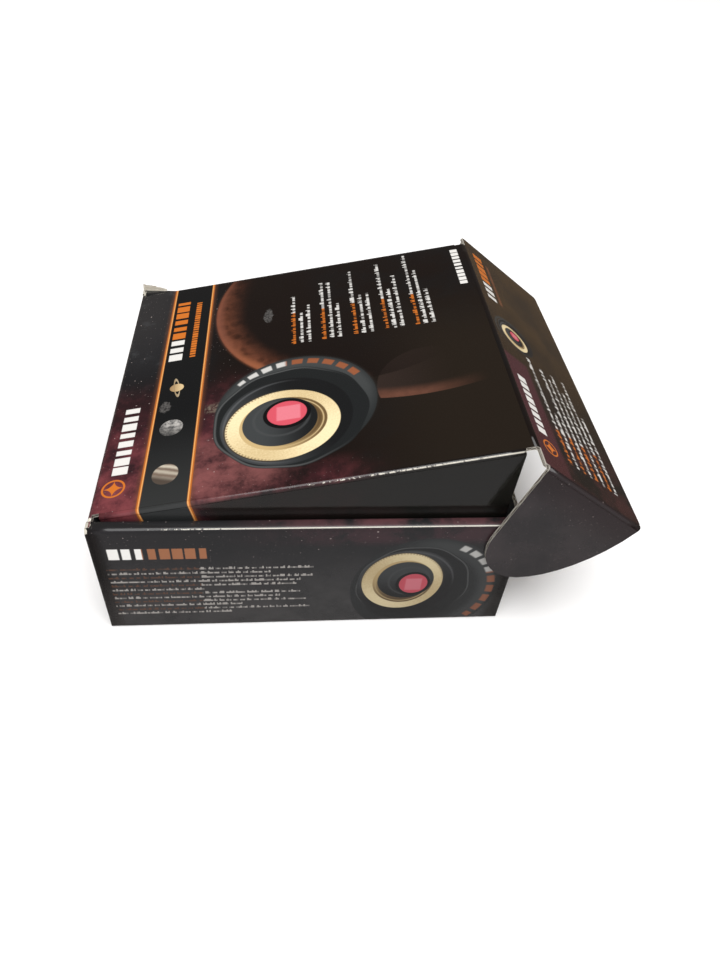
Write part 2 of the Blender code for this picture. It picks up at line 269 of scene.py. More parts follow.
def star_field(art, strength, share=1.0):
    """Stars of three sizes, the smallest the most crowded."""
    art.stars(0.75, 0.13, 0.40 * strength, share)
    art.stars(0.33, 0.22, 0.60 * strength, share)
    art.stars(0.11, 0.36, 0.9 * strength, share)


def title_blocks(art, along, across, span, height, cell, colours, turn_at):
    """A heading drawn as a row of plain rounded blocks, white at first and then coloured."""
    place = (along - span[0]) / cell
    number = floored(place)
    inner = place - number
    narrow = dice(number, span[0]) * 0.26
    across_block = fall(sums("ABSOLUTE", inner - 0.5), 0.42, 0.08)
    across_block = across_block * fall(sums("ABSOLUTE", inner - 0.5) + narrow, 0.52, 0.08)
    solid = between(along, span[0], span[1], 0.2) * between(across, height[0], height[1], 0.3)
    solid = solid * across_block
    colour = blended(colours[0], colours[1], rise(along, turn_at, 0.2))
    art.lay(colour, solid)


def greeked_rows(
    art, along, down, span, rows, pitch, colour, lead=None, stroke=0.62, seed=0.0, lead_colour=ORANGE
):
    """Rows of hashed strokes that stand for body text, with a coloured lead on some rows.

    lead is the first row that has one, how many rows on the next one is, and where a lead ends.
    """
    row = floored(down / pitch)
    inner = down / pitch - row
    key = row + seed
    place = along / 2.7 + dice(key, 1.0) * 4.0
    word = floored(place)
    gap = fall(place - word, 0.30, 0.06) * fall(dice(word, key), 0.62, 0.02)
    pick = dice(floored(along / stroke), key + 0.5)
    low = between(inner, 0.24, 0.58, 0.12)
    tall = between(inner, 0.24, 0.80, 0.12) * rise(pick, 0.78, 0.02)
    weight = rise(pick, 0.36, 0.3) * 0.62 + 0.38
    strokes = sums("MAXIMUM", low, tall) * weight * (1.0 - gap)
    width = span[1] - span[0]
    ragged = span[1] - dice(key, 7.0) * width * 0.1
    if lead:
        first, every, end = lead
        is_lead = sums("LESS_THAN", sums("FLOORED_MODULO", row - first, every), 0.5)
        ragged = ragged - (1.0 - is_lead) * dice(key, 9.0) * width * 0.5
        colour = blended(colour, lead_colour, is_lead * fall(along, end, 0.3))
    edges = rise(along, span[0], 0.3) * sums("LESS_THAN", along, ragged)
    area = edges * between(down, rows[0], rows[1], 0.1)
    art.lay(colour, strokes * area * 0.82)


def sphere_shade(u, v, centre, radius, light):
    """Light on a drawn ball: 1 at the lit limb and 0 on the dark side."""
    return sums(
        "MULTIPLY_ADD",
        u - centre[0],
        light[0] / radius,
        (v - centre[1]) * (light[1] / radius),
    )


def banded_planet(art, u, v, centre, radius):
    ball = disc(u, v, centre, (radius, radius * 1.05), 0.08)
    wander = clouds(art.sheet, 0.35) * 0.9
    slant = v * 0.94 + u * 0.35 + wander
    stripes = sums("SINE", slant * 2.1) * 0.5 + 0.5
    lit = rise(sphere_shade(u, v, centre, radius, (0.3, 0.75)), -0.1, 1.6)
    art.lay(blended((0.17, 0.125, 0.095), (0.52, 0.47, 0.38), stripes * lit), ball)
    art.lay(BLACK, ball * fall(lit, 0.3, 0.4) * 0.6)


def grey_moon(art, u, v, centre, radius):
    ball = disc(u, v, centre, (radius, radius), 0.06)
    spots = clouds(art.sheet, 0.45, 5.0, 0.7)
    art.lay(blended((0.10, 0.10, 0.10), (0.55, 0.53, 0.50), rise(spots, 0.5, 0.3)), ball)
    lit = rise(sphere_shade(u, v, centre, radius, (0.3, 0.8)), 0.0, 1.6)
    art.lay(BLACK, ball * (1.0 - lit) * 0.75)


def small_rock(art, u, v, centre, semi):
    bumpy = reach(u, v, centre, semi) + clouds(art.sheet, 0.30, 3.0, 0.7) * 1.5 - 0.75
    grain = rise(clouds(art.sheet, 0.9, 4.0, 0.7), 0.5, 0.4)
    stone = blended((0.012, 0.012, 0.013), (0.13, 0.125, 0.12), grain)
    art.lay(stone, fall(bumpy, 1.0, 0.2) * 0.85)


def ringed_planet(art, u, v, centre, radius):
    tilt = sums("MULTIPLY_ADD", u, 0.16, v)
    tilt_centre = centre[1] + centre[0] * 0.16
    ring = reach(u, tilt, (centre[0], tilt_centre), (radius * 2.15, radius * 0.42))
    band = between(ring, 0.72, 1.0, 0.1)
    art.lay((0.50, 0.40, 0.26), band * 0.8)
    shade = rise(v, centre[1], radius * 2.0)
    ball = disc(u, v, centre, (radius * 0.86, radius), 0.1)
    art.lay(blended((0.34, 0.22, 0.11), (0.66, 0.50, 0.27), shade), ball)
    art.lay((0.30, 0.22, 0.12), band * fall(tilt, tilt_centre, 0.3) * 0.7)


def great_planet(art, u, v, centre, radius, lit_colour, light, depth):
    """A huge rocky planet of which only one limb is lit."""
    out = reach(u, v, centre, (radius, radius))
    ball = fall(out, 1.0, 0.012)
    rock = clouds(art.sheet, 0.14, 6.0, 0.65)
    pits, _ = cells(art.sheet, 0.22)
    relief_share = rise(rock, 0.5, 0.4) * 0.6 + rise(pits, 0.40, 0.5) * 0.4
    facing = sphere_shade(u, v, centre, radius, light)
    art.lay(BROWN, ball * rise(facing, 0.2, 0.8))
    lit = rise(out, 1.0 - depth, depth * 1.7) * rise(facing, 0.66, 0.52)
    dark = tuple(part * 0.25 for part in lit_colour)
    bright = tuple(part * 1.6 for part in lit_colour)
    art.lay(blended(dark, lit_colour, relief_share), ball * lit)
    art.lay(bright, between(out, 0.975, 1.0, 0.02) * lit * 0.45)


def far_planet(art, s, t):
    """The smaller planet beside the camera, lit along its lower limb."""
    out = reach(s, t, (126.0, 62.0), (97.5, 97.5))
    body = disc(s, t, (131.0, -28.0), (22.5, 22.5), 0.03) * fall(out, 1.0, 0.005)
    rock = clouds(art.sheet, 0.2, 5.0, 0.65)
    art.lay((0.026, 0.017, 0.014), body * fall(s, 124.0, 36.0))
    low_limb = rise(out, 0.955, 0.06) * fall(s, 136.0, 36.0)
    art.lay(blended((0.055, 0.024, 0.016), (0.17, 0.070, 0.045), rock), body * low_limb)


def drawn_camera(art, u, v, ring_width, spread=1.0, vivid=1.0, marks_at=(-0.98, 0.05, 0.74)):
    """The printed picture of the camera.

    u is across, v is up, and the brass ring's half height is 1. marks_at says, as angles on its
    grip band, where the row of blocks ends, changes colour and starts.
    """

    def tint(red, green, blue):
        return (red * vivid, green * vivid, blue * vivid)

    middle = (0.42 * spread, -0.22 * spread)
    outer = reach(u, v, middle, (1.33 * spread, 1.38 * spread))
    art.lay(tint(0.020, 0.023, 0.024), fall(outer, 1.0, 0.025))
    sheen = between(outer, 0.74, 0.97, 0.16) * rise(u, 0.2, 1.2)
    art.lay(tint(0.055, 0.060, 0.061), sheen * 0.8)
    front = (0.20 * spread, -0.13)
    angle = sums("ARCTAN2", v - front[1], u - front[0])
    edge = reach(u, v, front, (1.25, 1.31)) + sums("SINE", angle * 9.0) * 0.011
    strip = between(outer, 0.855, 0.955, 0.03) * between(angle, marks_at[0], marks_at[2], 0.03)
    place = angle * 5.0
    inner = sums("ABSOLUTE", place - floored(place) - 0.5)
    marks = strip * fall(inner, 0.34, 0.1) * rise(edge, 1.03, 0.03)
    mark_colour = blended((0.34, 0.10, 0.035), WHITE, rise(angle, marks_at[1], 0.05))
    art.lay(mark_colour, marks * 0.75 * vivid)
    art.lay(tint(0.012, 0.014, 0.015), fall(edge, 1.0, 0.02))
    art.lay(tint(0.095, 0.10, 0.10), between(edge, 0.965, 0.99, 0.025) * rise(v, -0.6, 1.4) * 0.8)
    bezel = reach(u, v, (0.10, -0.06), (1.07, 1.11))
    shade = rise(sums("MULTIPLY_ADD", u, -0.35, v * 0.75), 0.2, 1.4)
    metal = blended(tint(0.008, 0.009, 0.010), tint(0.050, 0.055, 0.058), shade)
    art.lay(metal, fall(bezel, 1.0, 0.03))
    art.lay(tint(0.11, 0.115, 0.12), between(bezel, 0.93, 0.96, 0.04) * rise(v, 0.1, 1.0) * 0.7)
    ring = reach(u, v, (0.0, 0.0), (ring_width * 0.975, 0.96))
    turn = sums("ARCTAN2", v, u)
    knurl = sums("SINE", turn * 90.0) * 0.5 + 0.5
    mottle = clouds(art.sheet, 1.2, 3.0)
    glint = rise(sums("SINE", turn * 2.0 - 0.6) * 0.35 + mottle, 0.45, 1.1)
    gold = blended(tint(0.60, 0.46, 0.24), tint(0.88, 0.74, 0.45), glint)
    art.lay(tint(0.05, 0.04, 0.03), fall(ring, 1.03, 0.03) * rise(v, 0.0, 0.8))
    art.lay(gold, fall(ring, 1.0, 0.02))
    rim = between(ring, 0.965, 1.0, 0.02) * knurl * rise(v, 0.2, 0.6) * 0.8
    art.lay(tint(0.20, 0.14, 0.07), rim)
    bore = reach(u, v, (0.02, -0.01), (0.735 * ring_width, 0.735))
    lip = rise(sums("MULTIPLY_ADD", v, -1.0, u * 0.2), 0.1, 1.2)
    turned = blended(tint(0.55, 0.40, 0.19), tint(0.14, 0.085, 0.035), lip)
    art.lay(turned, fall(bore, 1.0, 0.03))
    art.lay(tint(0.72, 0.55, 0.29), between(bore, 0.90, 0.93, 0.03) * lip * 0.7)
    art.lay(tint(0.09, 0.055, 0.025), between(bore, 0.80, 0.86, 0.05) * lip * 0.8)
    cup = reach(u, v, (0.07, 0.045), (0.68 * ring_width, 0.63))
    depth = rise(v, -0.05, 0.9)
    black = blended(tint(0.010, 0.011, 0.012), tint(0.045, 0.050, 0.052), depth)
    art.lay(black, fall(cup, 1.0, 0.03))
    well = reach(u, v, (0.15, 0.02), (0.52 * ring_width, 0.49))
    art.lay(tint(0.060, 0.064, 0.066), between(well, 0.9, 1.0, 0.08) * 0.6)
    border = reach(u, v, (0.24, -0.075), (0.42 * ring_width, 0.405))
    art.lay(tint(0.004, 0.004, 0.005), fall(border, 1.0, 0.05))
    window = reach(u, v, (0.25, -0.075), (0.345 * ring_width, 0.335))
    art.lay(tint(0.62, 0.085, 0.12), fall(window, 1.0, 0.05))
    pane = between(u, 0.08, 0.43, 0.04) * between(v, -0.30, 0.10, 0.04)
    art.lay(tint(0.74, 0.22, 0.27), pane * fall(window, 0.93, 0.05) * 0.8)


def four_point_star(art, u, v, centre, size, colour):
    """The plain mark that stands in for a maker's: a four-point star in a thin ring."""
    across = sums("ABSOLUTE", u - centre[0]) / size
    down = sums("ABSOLUTE", v - centre[1]) / size
    spread = sums("POWER", across, 0.55) + sums("POWER", down, 0.55)
    art.lay(colour, fall(spread, 1.0, 0.08))
    art.lay(colour, between(reach(u, v, centre, (size, size)), 0.9, 1.08, 0.08))


def deep_sky(s, t, ground_low, ground_high, share):
    """Dark sky with faint coloured cloud, the ground of every printed face."""
    art = Picture(s, t, blended(ground_low, ground_high, share))
    mist = clouds(art.sheet, 0.03, 6.0, 0.65)
    art.lay(BLACK, fall(mist, 0.48, 0.25) * 0.55)
    return art


def glowing_line(art, place, at, side):
    """A bright border line with a warm glow on one side."""
    away = (place - at) * side
    glow = fall(away, 1.6, 3.2) * rise(away, 0.0, 0.3) * 0.45
    art.lay(RUST, between(away, -0.2, 0.9, 0.8) * 0.8 + glow)
    art.lay(ORANGE, between(away, -0.3, 0.75, 0.5) * 0.75)
    art.lay(CREAM, between(away, -0.2, 0.22, 0.3) * 0.9)


BAND_LEFT = 17.8
BAND_RIGHT = 36.0
BAND_END = 38.5
WORDS_START = 7.0


def lid_ground(s, t):
    """The sky on the lid, its dust flaps and its folds: one printed sheet.

    s runs from the lid's hinge to its front edge and beyond, and t runs from near to far.
    """
    near = fall(t, -26.0, 70.0)
    left = fall(s, 56.0, 46.0)
    art = deep_sky(s, t, BROWN, PURPLE, near * left)
    art.lay(NIGHT, rise(t, 0.0, 60.0) * fall(s, 34.0, 30.0))
    veil = clouds(art.sheet, 0.06, 6.0, 0.68)
    edge_near = sums("MAXIMUM", left, fall(t, -66.0, 14.0) * fall(s, 96.0, 40.0) * 0.7)
    art.lay(MAROON, near * edge_near * rise(veil, 0.44, 0.35))
    art.lay(ROSE, fall(t, -46.0, 60.0) * fall(s, 24.0, 30.0) * rise(veil, 0.50, 0.30) * 0.85)
    art.lay(ROSE, near * edge_near * rise(veil, 0.60, 0.16) * 0.55)
    far_left = rise(veil, 0.60, 0.2) * rise(t, 10.0, 50.0) * fall(s, 22.0, 14.0)
    art.lay((0.060, 0.066, 0.072), far_left * 0.6)
    cloud = disc(s, t, (47.0, -60.0), (26.0, 17.0), 0.9) * rise(veil, 0.46, 0.3)
    art.lay((0.26, 0.095, 0.090), cloud * 0.6)
    art.lay((0.055, 0.050, 0.048), rise(t, 20.0, 70.0) * fall(s, 20.0, 24.0) * 0.35)
    star_field(art, 0.9, sums("MAXIMUM", left, edge_near * near))
    return art


def lay_band(art, s, t):
    """The black band across the lid, between its two glowing lines, with painted sheen at its near end."""
    on_band = between(s, BAND_LEFT, BAND_RIGHT, 0.3)
    art.lay(BLACK, on_band)
    # painted sheen: the band turns lighter grey towards the lid's near edge
    art.lay((0.034, 0.036, 0.036), on_band * fall(t, -50.0, 60.0) * 0.8)
    glowing_line(art, s, BAND_LEFT, -1.0)
    glowing_line(art, s, BAND_RIGHT, 1.0)


GREAT_PLACE = (104.0, 44.4)
GREAT_RADIUS = 64.5


def lay_great_planets(art, s, t):
    """The two planets behind the camera, each lit along one limb, and a faint painted olive sheen."""
    warm = blended((0.17, 0.062, 0.040), (0.42, 0.14, 0.052), fall(t, 4.0, 60.0))
    # painted sheen: a faint olive tint over the lid's front and near part
    art.lay((0.014, 0.010, 0.007), rise(s, 110.0, 60.0) * fall(t, 20.0, 60.0))
    far_planet(art, s, t)
    great_planet(art, s, t, GREAT_PLACE, GREAT_RADIUS, (0.17, 0.056, 0.030), (-0.86, -0.42), 0.13)
    limb = reach(s, t, GREAT_PLACE, (GREAT_RADIUS, GREAT_RADIUS))
    lit = between(limb, 0.95, 1.0, 0.05) * rise(GREAT_PLACE[0] - s, 10.0, 30.0)
    art.lay(warm, lit * fall(t, 60.0, 50.0) * 0.6)


def lid_band_art(s, t):
    """The hinge end of the lid: the band of planets, the heading and the mark."""
    art = lid_ground(s, t)
    lay_band(art, s, t)
    banded_planet(art, s, t, (26.0, -58.0), 5.0)
    grey_moon(art, s, t, (25.6, -31.8), 4.7)
    small_rock(art, s, t, (21.6, -18.5), (2.2, 3.6))
    ringed_planet(art, t, s, (-6.3, 25.3), 3.0)
    reading = -1.0 * s
    title_blocks(art, t, reading, (13.0, 61.0), (-25.5, -19.5), 5.6, (WHITE, ORANGE), 29.8)
    title_blocks(art, t, reading, (14.0, 59.0), (-31.4, -28.9), 1.9, (ORANGE, ORANGE), 0.0)
    title_blocks(art, t, reading, (-55.0, -15.0), (-11.0, -5.0), 5.0, (WHITE, WHITE), 0.0)
    four_point_star(art, t, reading, (-61.6, -6.8), 4.2, ORANGE)
    return art


def lid_camera_art(s, t):
    """The near part of the lid: the picture of the camera."""
    art = lid_ground(s, t)
    lay_great_planets(art, s, t)
    haze = disc(s, t, (43.5, -24.0), (5.0, 2.6), 1.2)
    art.lay((0.16, 0.13, 0.10), haze * rise(clouds(art.sheet, 0.9, 4.0), 0.5, 0.3))
    lay_band(art, s, t)
    high = 23.6
    drawn_camera(art, (t + 40.0) / high, (70.4 - s) / high, 0.87)
    return art


LID_ROW_PITCH = 3.4


def lid_words_art(s, t):
    """The far part of the lid: the great planet and the columns of small print."""
    art = lid_ground(s, t)
    lay_great_planets(art, s, t)
    lay_band(art, s, t)
    small_rock(art, s, t, (64.0, 37.0), (2.2, 5.2))
    deep = 3 * LID_ROW_PITCH
    for first, end in ((74.0, 54.0), (87.5, 62.0), (101.5, 68.0), (115.0, 71.0), (128.5, 75.0)):
        rows = ((11.5, end), (0.0, deep), LID_ROW_PITCH)
        greeked_rows(art, t, (first + deep) - s, *rows, WHITE, (2.0, 8.0, 36.0), seed=first)
    title_blocks(art, t, -1.0 * s, (37.5, 70.0), (-156.6, -153.2), 3.2, (WHITE, WHITE), 0.0)
    return art


def lid_border_art(s, t):
    """The flaps and folds round the lid, black but near the hinge."""
    art = lid_ground(s, t)
    lay_band(art, s, t)
    hanging = rise(sums("ABSOLUTE", t), FLAP_FOLD + 0.6, 1.0)
    art.lay((0.006, 0.006, 0.005), hanging * rise(s, 40.0, 12.0) * 0.93)
    return art


def front_art(along, t):
    """The picture on the front panel, which goes on from the lid's."""
    olive, black = (0.052, 0.031, 0.013), (0.007, 0.005, 0.004)
    art = deep_sky(along, t, black, olive, rise(t, -10.0, 120.0))
    patch = fall(along, 15.5, 3.0) * fall(t, -14.0, 3.0)
    art.lay((0.060, 0.018, 0.024), patch)
    veil = clouds(art.sheet, 0.05, 5.0, 0.65)
    art.lay((0.050, 0.016, 0.016), rise(veil, 0.5, 0.2) * fall(t, -50.0, 30.0) * 0.7)
    star_field(art, 0.5, fall(t, -50.0, 30.0))
    reading = -1.0 * along
    title_blocks(art, t, reading, (30.0, 71.0), (-11.6, -5.6), 5.2, (WHITE, ORANGE), 45.0)
    title_blocks(art, t, reading, (32.0, 68.0), (-16.0, -14.0), 1.9, (RUST, RUST), 0.0)
    title_blocks(art, t, reading, (-62.0, -27.0), (-9.6, -4.8), 4.4, (WHITE, WHITE), 0.0)
    four_point_star(art, t, reading, (-68.5, -8.6), 3.6, ORANGE)
    high = 8.6
    halo = reach(t, along, (6.0, 13.5), (12.6, 11.0))
    art.lay((0.040, 0.042, 0.040), between(halo, 0.9, 1.0, 0.06) * rise(t, 0.0, 10.0))
    drawn_camera(art, (t - 6.0) / high, (15.0 - along) / high, 0.92, 0.86, 0.9)
    rows = ((-70.0, 0.0), (0.0, 32.0), 4.0)
    greeked_rows(art, t, 50.0 - along, *rows, WHITE, (1.0, 2.0, -50.0), stroke=0.9, seed=5.0)
    return art


def ear_art(along, t):
    """The ears: plain dark sky, deeper beside their folds."""
    art = deep_sky(along, t, (0.026, 0.021, 0.022), (0.030, 0.024, 0.026), fall(along, 20.0, 40.0))
    deep = fall(sums("ABSOLUTE", t), 92.0, 18.0)
    art.lay((0.012, 0.005, 0.006), deep * 0.8)
    star_field(art, 0.4)
    return art


def side_art(x, q):
    """The picture on a rolled side wall. q runs up the wall, over the rim and down the lining."""
    # painted reflection: the wall is lighter grey low down, where the pale floor would show in its gloss
    ground_with_floor_reflection = blended(CHARCOAL, (0.044, 0.043, 0.043), fall(q, 26.0, 60.0))
    art = deep_sky(x, q, ground_with_floor_reflection, (0.014, 0.011, 0.013), fall(x, -10.0, 80.0) * 0.3)
    rim = between(q, 58.9, 66.0, 0.6)
    veil = clouds(art.sheet, 0.06, 6.0, 0.68)
    art.lay((0.015, 0.015, 0.016), rim)
    glow = rise(x, -8.0, 56.0) * rise(veil, 0.46, 0.25)
    art.lay((0.095, 0.040, 0.045), rim * glow)
    art.lay((0.035, 0.015, 0.019), between(q, 50.0, 59.0, 6.0) * glow * 0.8)
    star_field(art, 0.5, rise(q, 40.0, 30.0))
    art.lay(BLACK, rise(q, 66.5, 2.0))
    title_blocks(art, x, q, (-74.5, -37.6), (42.6, 48.6), 4.6, (WHITE, (0.27, 0.105, 0.045)), -62.0)
    rows = ((-76.0, 2.0), (7.62, 38.1), 2.54)
    lead = (0.0, 2.0, -42.0)
    greeked_rows(art, x, q, *rows, FADED, lead, seed=3.0, lead_colour=(0.085, 0.038, 0.022))
    high = 18.5
    drawn_camera(art, (x - 36.5) / high, (q - 26.0) / high, 0.9, 1.22, 0.55, (-0.72, 0.26, 0.95))
    return art


def tray_art(s, t):
    """The end walls and the underside, on the one strip that runs under the tray."""
    art = deep_sky(s, t, CHARCOAL, PURPLE, fall(t, -10.0, 80.0))
    star_field(art, 0.6)
    from_middle = s - STRIP_MIDDLE
    end = sums("ABSOLUTE", from_middle) - HALF_LENGTH
    art.lay(BLACK, between(end, 36.0, 52.0, 0.3))
    art.lay(CREAM, between(end, 35.6, 36.3, 0.3))
    art.lay(CREAM, between(end, 51.8, 52.5, 0.3))
    title_blocks(art, t, end, (-66.0, -22.0), (17.0, 24.0), 5.0, (WHITE, ORANGE), -46.0)
    greeked_rows(art, t, end, (-66.0, 8.0), (0.0, 14.0), 2.6, WHITE, seed=2.0)
    greeked_rows(art, t, from_middle, (-60.0, -6.0), (-30.0, 4.0), 2.8, (0.4, 0.4, 0.4), seed=4.0)
    return art


# ---------------- finishes


def new_material(name):
    """An empty material, its tree and its Principled shader."""
    material = bpy.data.materials.new(name)
    material.use_nodes = True
    shader = material.node_tree.nodes["Principled BSDF"]
    return material, material.node_tree, shader


def feed(shader, inputs):
    """Gives a shader's named inputs their numbers, colours or inks."""
    for name, value in inputs.items():
        join(shader.id_data, value, shader.inputs[name])


def flutes(along):
    """The wave of the corrugations, from -1 to 1."""
    return sums("SINE", along * (2 * math.pi / FLUTE_PITCH))


def components(vector):
    """A vector's three numbers."""
    split = add_node(vector.tree, "SeparateXYZ", {0: vector})
    return [Ink(vector.tree, socket) for socket in split.outputs]


def sheet_place(tree):
    """Where a point is on its sheet, in millimetres, from the mesh's own map."""
    source = add_node(tree, "UVMap", {}, name="sheet map", uv_map="sheet")
    s, t, _ = components(Ink(tree, source.outputs[0]))
    return s, t


def solid_place(tree):
    """Where a point is in its solid, in millimetres."""
    place = Ink(tree, add_node(tree, "TexCoord", {}).outputs["Object"])
    scaled = add_node(tree, "VectorMath", {0: place, "Scale": 1 / MM}, operation="SCALE")
    return Ink(tree, scaled.outputs[0])


def relief(shader, height, depth):
    """Bump, with height from 0 to 1 and depth in millimetres."""
    tree = height.tree
    node = add_node(tree, "Bump", {"Strength": 1.0, "Distance": depth * MM, "Height": height})
    tree.links.new(node.outputs[0], shader.inputs["Normal"])


def worn_line(art, place, at, width, amount, share):
    """White paper showing where the print has cracked along a fold, for a share of its length."""
    ragged = clouds(art.sheet, 0.8, 4.0, 0.7)
    away = sums("ABSOLUTE", place - at)
    crack = fall(away, width * 0.5, width * 0.5)
    broken = rise(ragged + share * 0.25 - 0.25, 1.0 - amount, 0.12)
    art.lay(PAPER, crack * broken * rise(share, 0.1, 0.2))
    art.lay((0.045, 0.043, 0.043), fall(away, width * 1.1, width * 1.6) * (share * 0.25 + 0.05))


WHOLE = (-400.0, -399.0)


def print_finish(name, paint, folds=(), gloss=0.16, torn=()):
    """Glossy varnished print on thin corrugated board.

    Each fold is which way it is measured, where it is, its width, how worn it is, and from where
    to where along it the wear grows, or WHOLE where it is worn alike throughout. Each torn patch
    is a place and its half sizes.
    """
    material, tree, shader = new_material(name)
    s, t = sheet_place(tree)
    art = paint(s, t)
    for way, at, width, amount, grow in folds:
        place, along = (s, t) if way == "s" else (t, s)
        share = step_between(along, (grow[0] + grow[1]) / 2, abs(grow[1] - grow[0]), 0.0, 1.0)
        if grow[0] > grow[1]:
            share = 1.0 - share
        worn_line(art, place, at, width, amount, share)
    fray = clouds(art.sheet, 0.7, 4.0, 0.7)
    for centre, semi in torn:
        art.lay(PAPER, fall(reach(s, t, centre, semi) + fray * 1.2 - 0.6, 1.0, 0.12))
    scuff = rise(clouds(art.sheet, 0.9, 6.0, 0.75), 0.72, 0.08)
    art.lay((0.10, 0.095, 0.09), scuff * 0.16)
    smear = clouds(art.sheet, 0.035, 3.0)
    rough = sums("MULTIPLY_ADD", smear, 0.14, gloss - 0.05) + scuff * 0.15
    feed(shader, {"Base Color": art.colour, "Roughness": rough, "Specular IOR Level": 0.38})
    swell = clouds(art.sheet, 0.03, 2.0) * 1.2
    relief(shader, flutes(s) * 0.018 + swell + clouds(art.sheet, 0.6, 2.0) * 0.06, 0.16)
    return material


def liner_finish(name, low, high, stain):
    """The plain inside of the board, with paper fibres and faint flute lines."""
    material, tree, shader = new_material(name)
    s, t = sheet_place(tree)
    sheet = joined(s, t)
    fibres = clouds(joined(s * 0.35, t * 2.2), 1.2, 5.0, 0.7)
    stains = clouds(sheet, 0.03, 4.0)
    colour = blended(low, high, fibres)
    colour = blended(colour, stain, rise(stains, 0.62, 0.25) * 0.4)
    stripe = flutes(s) * 0.5 + 0.5
    colour = blended(colour, stain, stripe * 0.12)
    feed(shader, {"Base Color": colour, "Roughness": 0.85})
    relief(shader, stripe * 0.5 + fibres * 0.3, 0.12)
    return material


def edge_finish():
    """The cut edge: two pale liners with the flute's wave between them, and painted shade in its hollows."""
    material, tree, shader = new_material("carton_cut_edge")
    run, depth = sheet_place(tree)
    off = sums("ABSOLUTE", depth - flutes(run) * 0.42)
    paper = sums("MAXIMUM", fall(off, 0.15, 0.08), rise(sums("ABSOLUTE", depth), 0.56, 0.08))
    frayed = clouds(joined(run, depth), 1.6, 4.0, 0.7)
    paper = sums("MAXIMUM", paper, rise(frayed, 0.60, 0.08))
    # painted shade: the hollows between the liners and the flute are dark brown, where only shade falls
    colour = blended((0.10, 0.085, 0.07), LINER, paper)
    colour = blended(colour, (0.30, 0.26, 0.21), rise(frayed, 0.52, 0.3) * 0.3)
    feed(shader, {"Base Color": colour, "Roughness": 0.9})
    relief(shader, paper, 0.35)
    return material


def board_solid_finish(name):
    """Plain stained paper, for the board kept from the CAD."""
    material, tree, shader = new_material(name)
    place = solid_place(tree)
    fibres = clouds(place, 1.4, 5.0, 0.7)
    stains = clouds(place, 0.05, 3.0)
    colour = blended((0.48, 0.45, 0.39), (0.66, 0.63, 0.56), fibres)
    colour = blended(colour, (0.40, 0.36, 0.30), rise(stains, 0.6, 0.2) * 0.5)
    feed(shader, {"Base Color": colour, "Roughness": 0.85})
    relief(shader, fibres, 0.1)
    return material


# ---------------- folded board


class Panel:
    """A flat panel of the carton: a point on its fold, and its along, across and outward ways."""

    def __init__(self, fold, along, outward):
        self.fold = Vector(fold)
        self.along = Vector(along).normalized()
        self.outward = Vector(outward).normalized()
        self.across = self.outward.cross(self.along).normalized()

    def point(self, a, b, h):
        return self.fold + (self.along * a + self.across * b + self.outward * h) * MM


def placed(name, data):
    """Puts an object in the scene."""
    item = bpy.data.objects.new(name, data)
    bpy.context.scene.collection.objects.link(item)
    return item


def finished(name, mesh, materials):
    """Puts a mesh in the scene under its own name."""
    data = bpy.data.meshes.new(name)
    mesh.normal_update()
    mesh.to_mesh(data)
    mesh.free()
    for material in materials:
        data.materials.append(material)
    return placed(name, data)


def cut_grid(outline, cuts):
    """A flat outline cut into small faces, along a grid and along some lines of its own."""
    mesh = bmesh.new()
    mesh.faces.new([mesh.verts.new((a, b, 0)) for a, b in outline])
    for way in (0, 1):
        low = min(point[way] for point in outline)
        high = max(point[way] for point in outline)
        count = max(1, round((high - low) / MESH_STEP))
        places = [low + (high - low) * number / count for number in range(1, count)]
        places += [place for line_way, place in cuts if line_way == way]
        for place in places:
            point = Vector((0, 0, 0))
            point[way] = place
            normal = Vector((0, 0, 0))
            normal[way] = 1
            everything = mesh.verts[:] + mesh.edges[:] + mesh.faces[:]
            bmesh.ops.bisect_plane(
                mesh, geom=everything, plane_co=point, plane_no=normal, dist=1e-6
            )
    return mesh


def board(name, panel, outline, sheet_map, materials, bow=0.0, cuts=(), print_slot=lambda a, b: 0):
    """A flat or slightly bowed panel of board, from an outline in along and across of its fold.

    Its map holds sheet millimetres on both faces, and run and depth on the cut edge. print_slot
    chooses the material of a printed face by its middle, where cuts split the print.
    """
    flat = cut_grid(outline, cuts)
    flat.faces.ensure_lookup_table()
    flat.normal_update()
    low = [min(point[way] for point in outline) for way in (0, 1)]
    high = [max(point[way] for point in outline) for way in (0, 1)]
    mesh = bmesh.new()
    uv = mesh.loops.layers.uv.new("sheet")
    tops, bottoms = {}, {}
    for vert in flat.verts:
        a, b = vert.co.x, vert.co.y
        share_a = (a - low[0]) / (high[0] - low[0])
        share_b = (b - low[1]) / (high[1] - low[1])
        lift = bow * 16 * share_a * (1 - share_a) * share_b * (1 - share_b)
        tops[vert] = mesh.verts.new(panel.point(a, b, lift + HALF_BOARD))
        bottoms[vert] = mesh.verts.new(panel.point(a, b, lift - HALF_BOARD))
    up = 1 if flat.faces[0].normal.z > 0 else -1

    def add(corners, maps, slot):
        face = mesh.faces.new(corners)
        face.material_index = slot
        for loop, place in zip(face.loops, maps):
            loop[uv].uv = place

    for face in flat.faces:
        verts = [loop.vert for loop in face.loops][::up]
        places = [sheet_map(vert.co.x, vert.co.y) for vert in verts]
        middle = face.calc_center_median()
        add([tops[vert] for vert in verts], places, print_slot(middle.x, middle.y))
        add([bottoms[vert] for vert in verts][::-1], places[::-1], 1)
        for loop in face.loops:
            if len(loop.edge.link_faces) > 1:
                continue
            first, second = loop.vert, loop.link_loop_next.vert
            if up < 0:
                first, second = second, first
            corners = [bottoms[first], bottoms[second], tops[second], tops[first]]
            runs = [first.co.x, second.co.x, second.co.x, first.co.x]
            depths = [-HALF_BOARD, -HALF_BOARD, HALF_BOARD, HALF_BOARD]
            add(corners, list(zip(runs, depths)), 2)
    flat.free()
    return finished(name, mesh, materials)


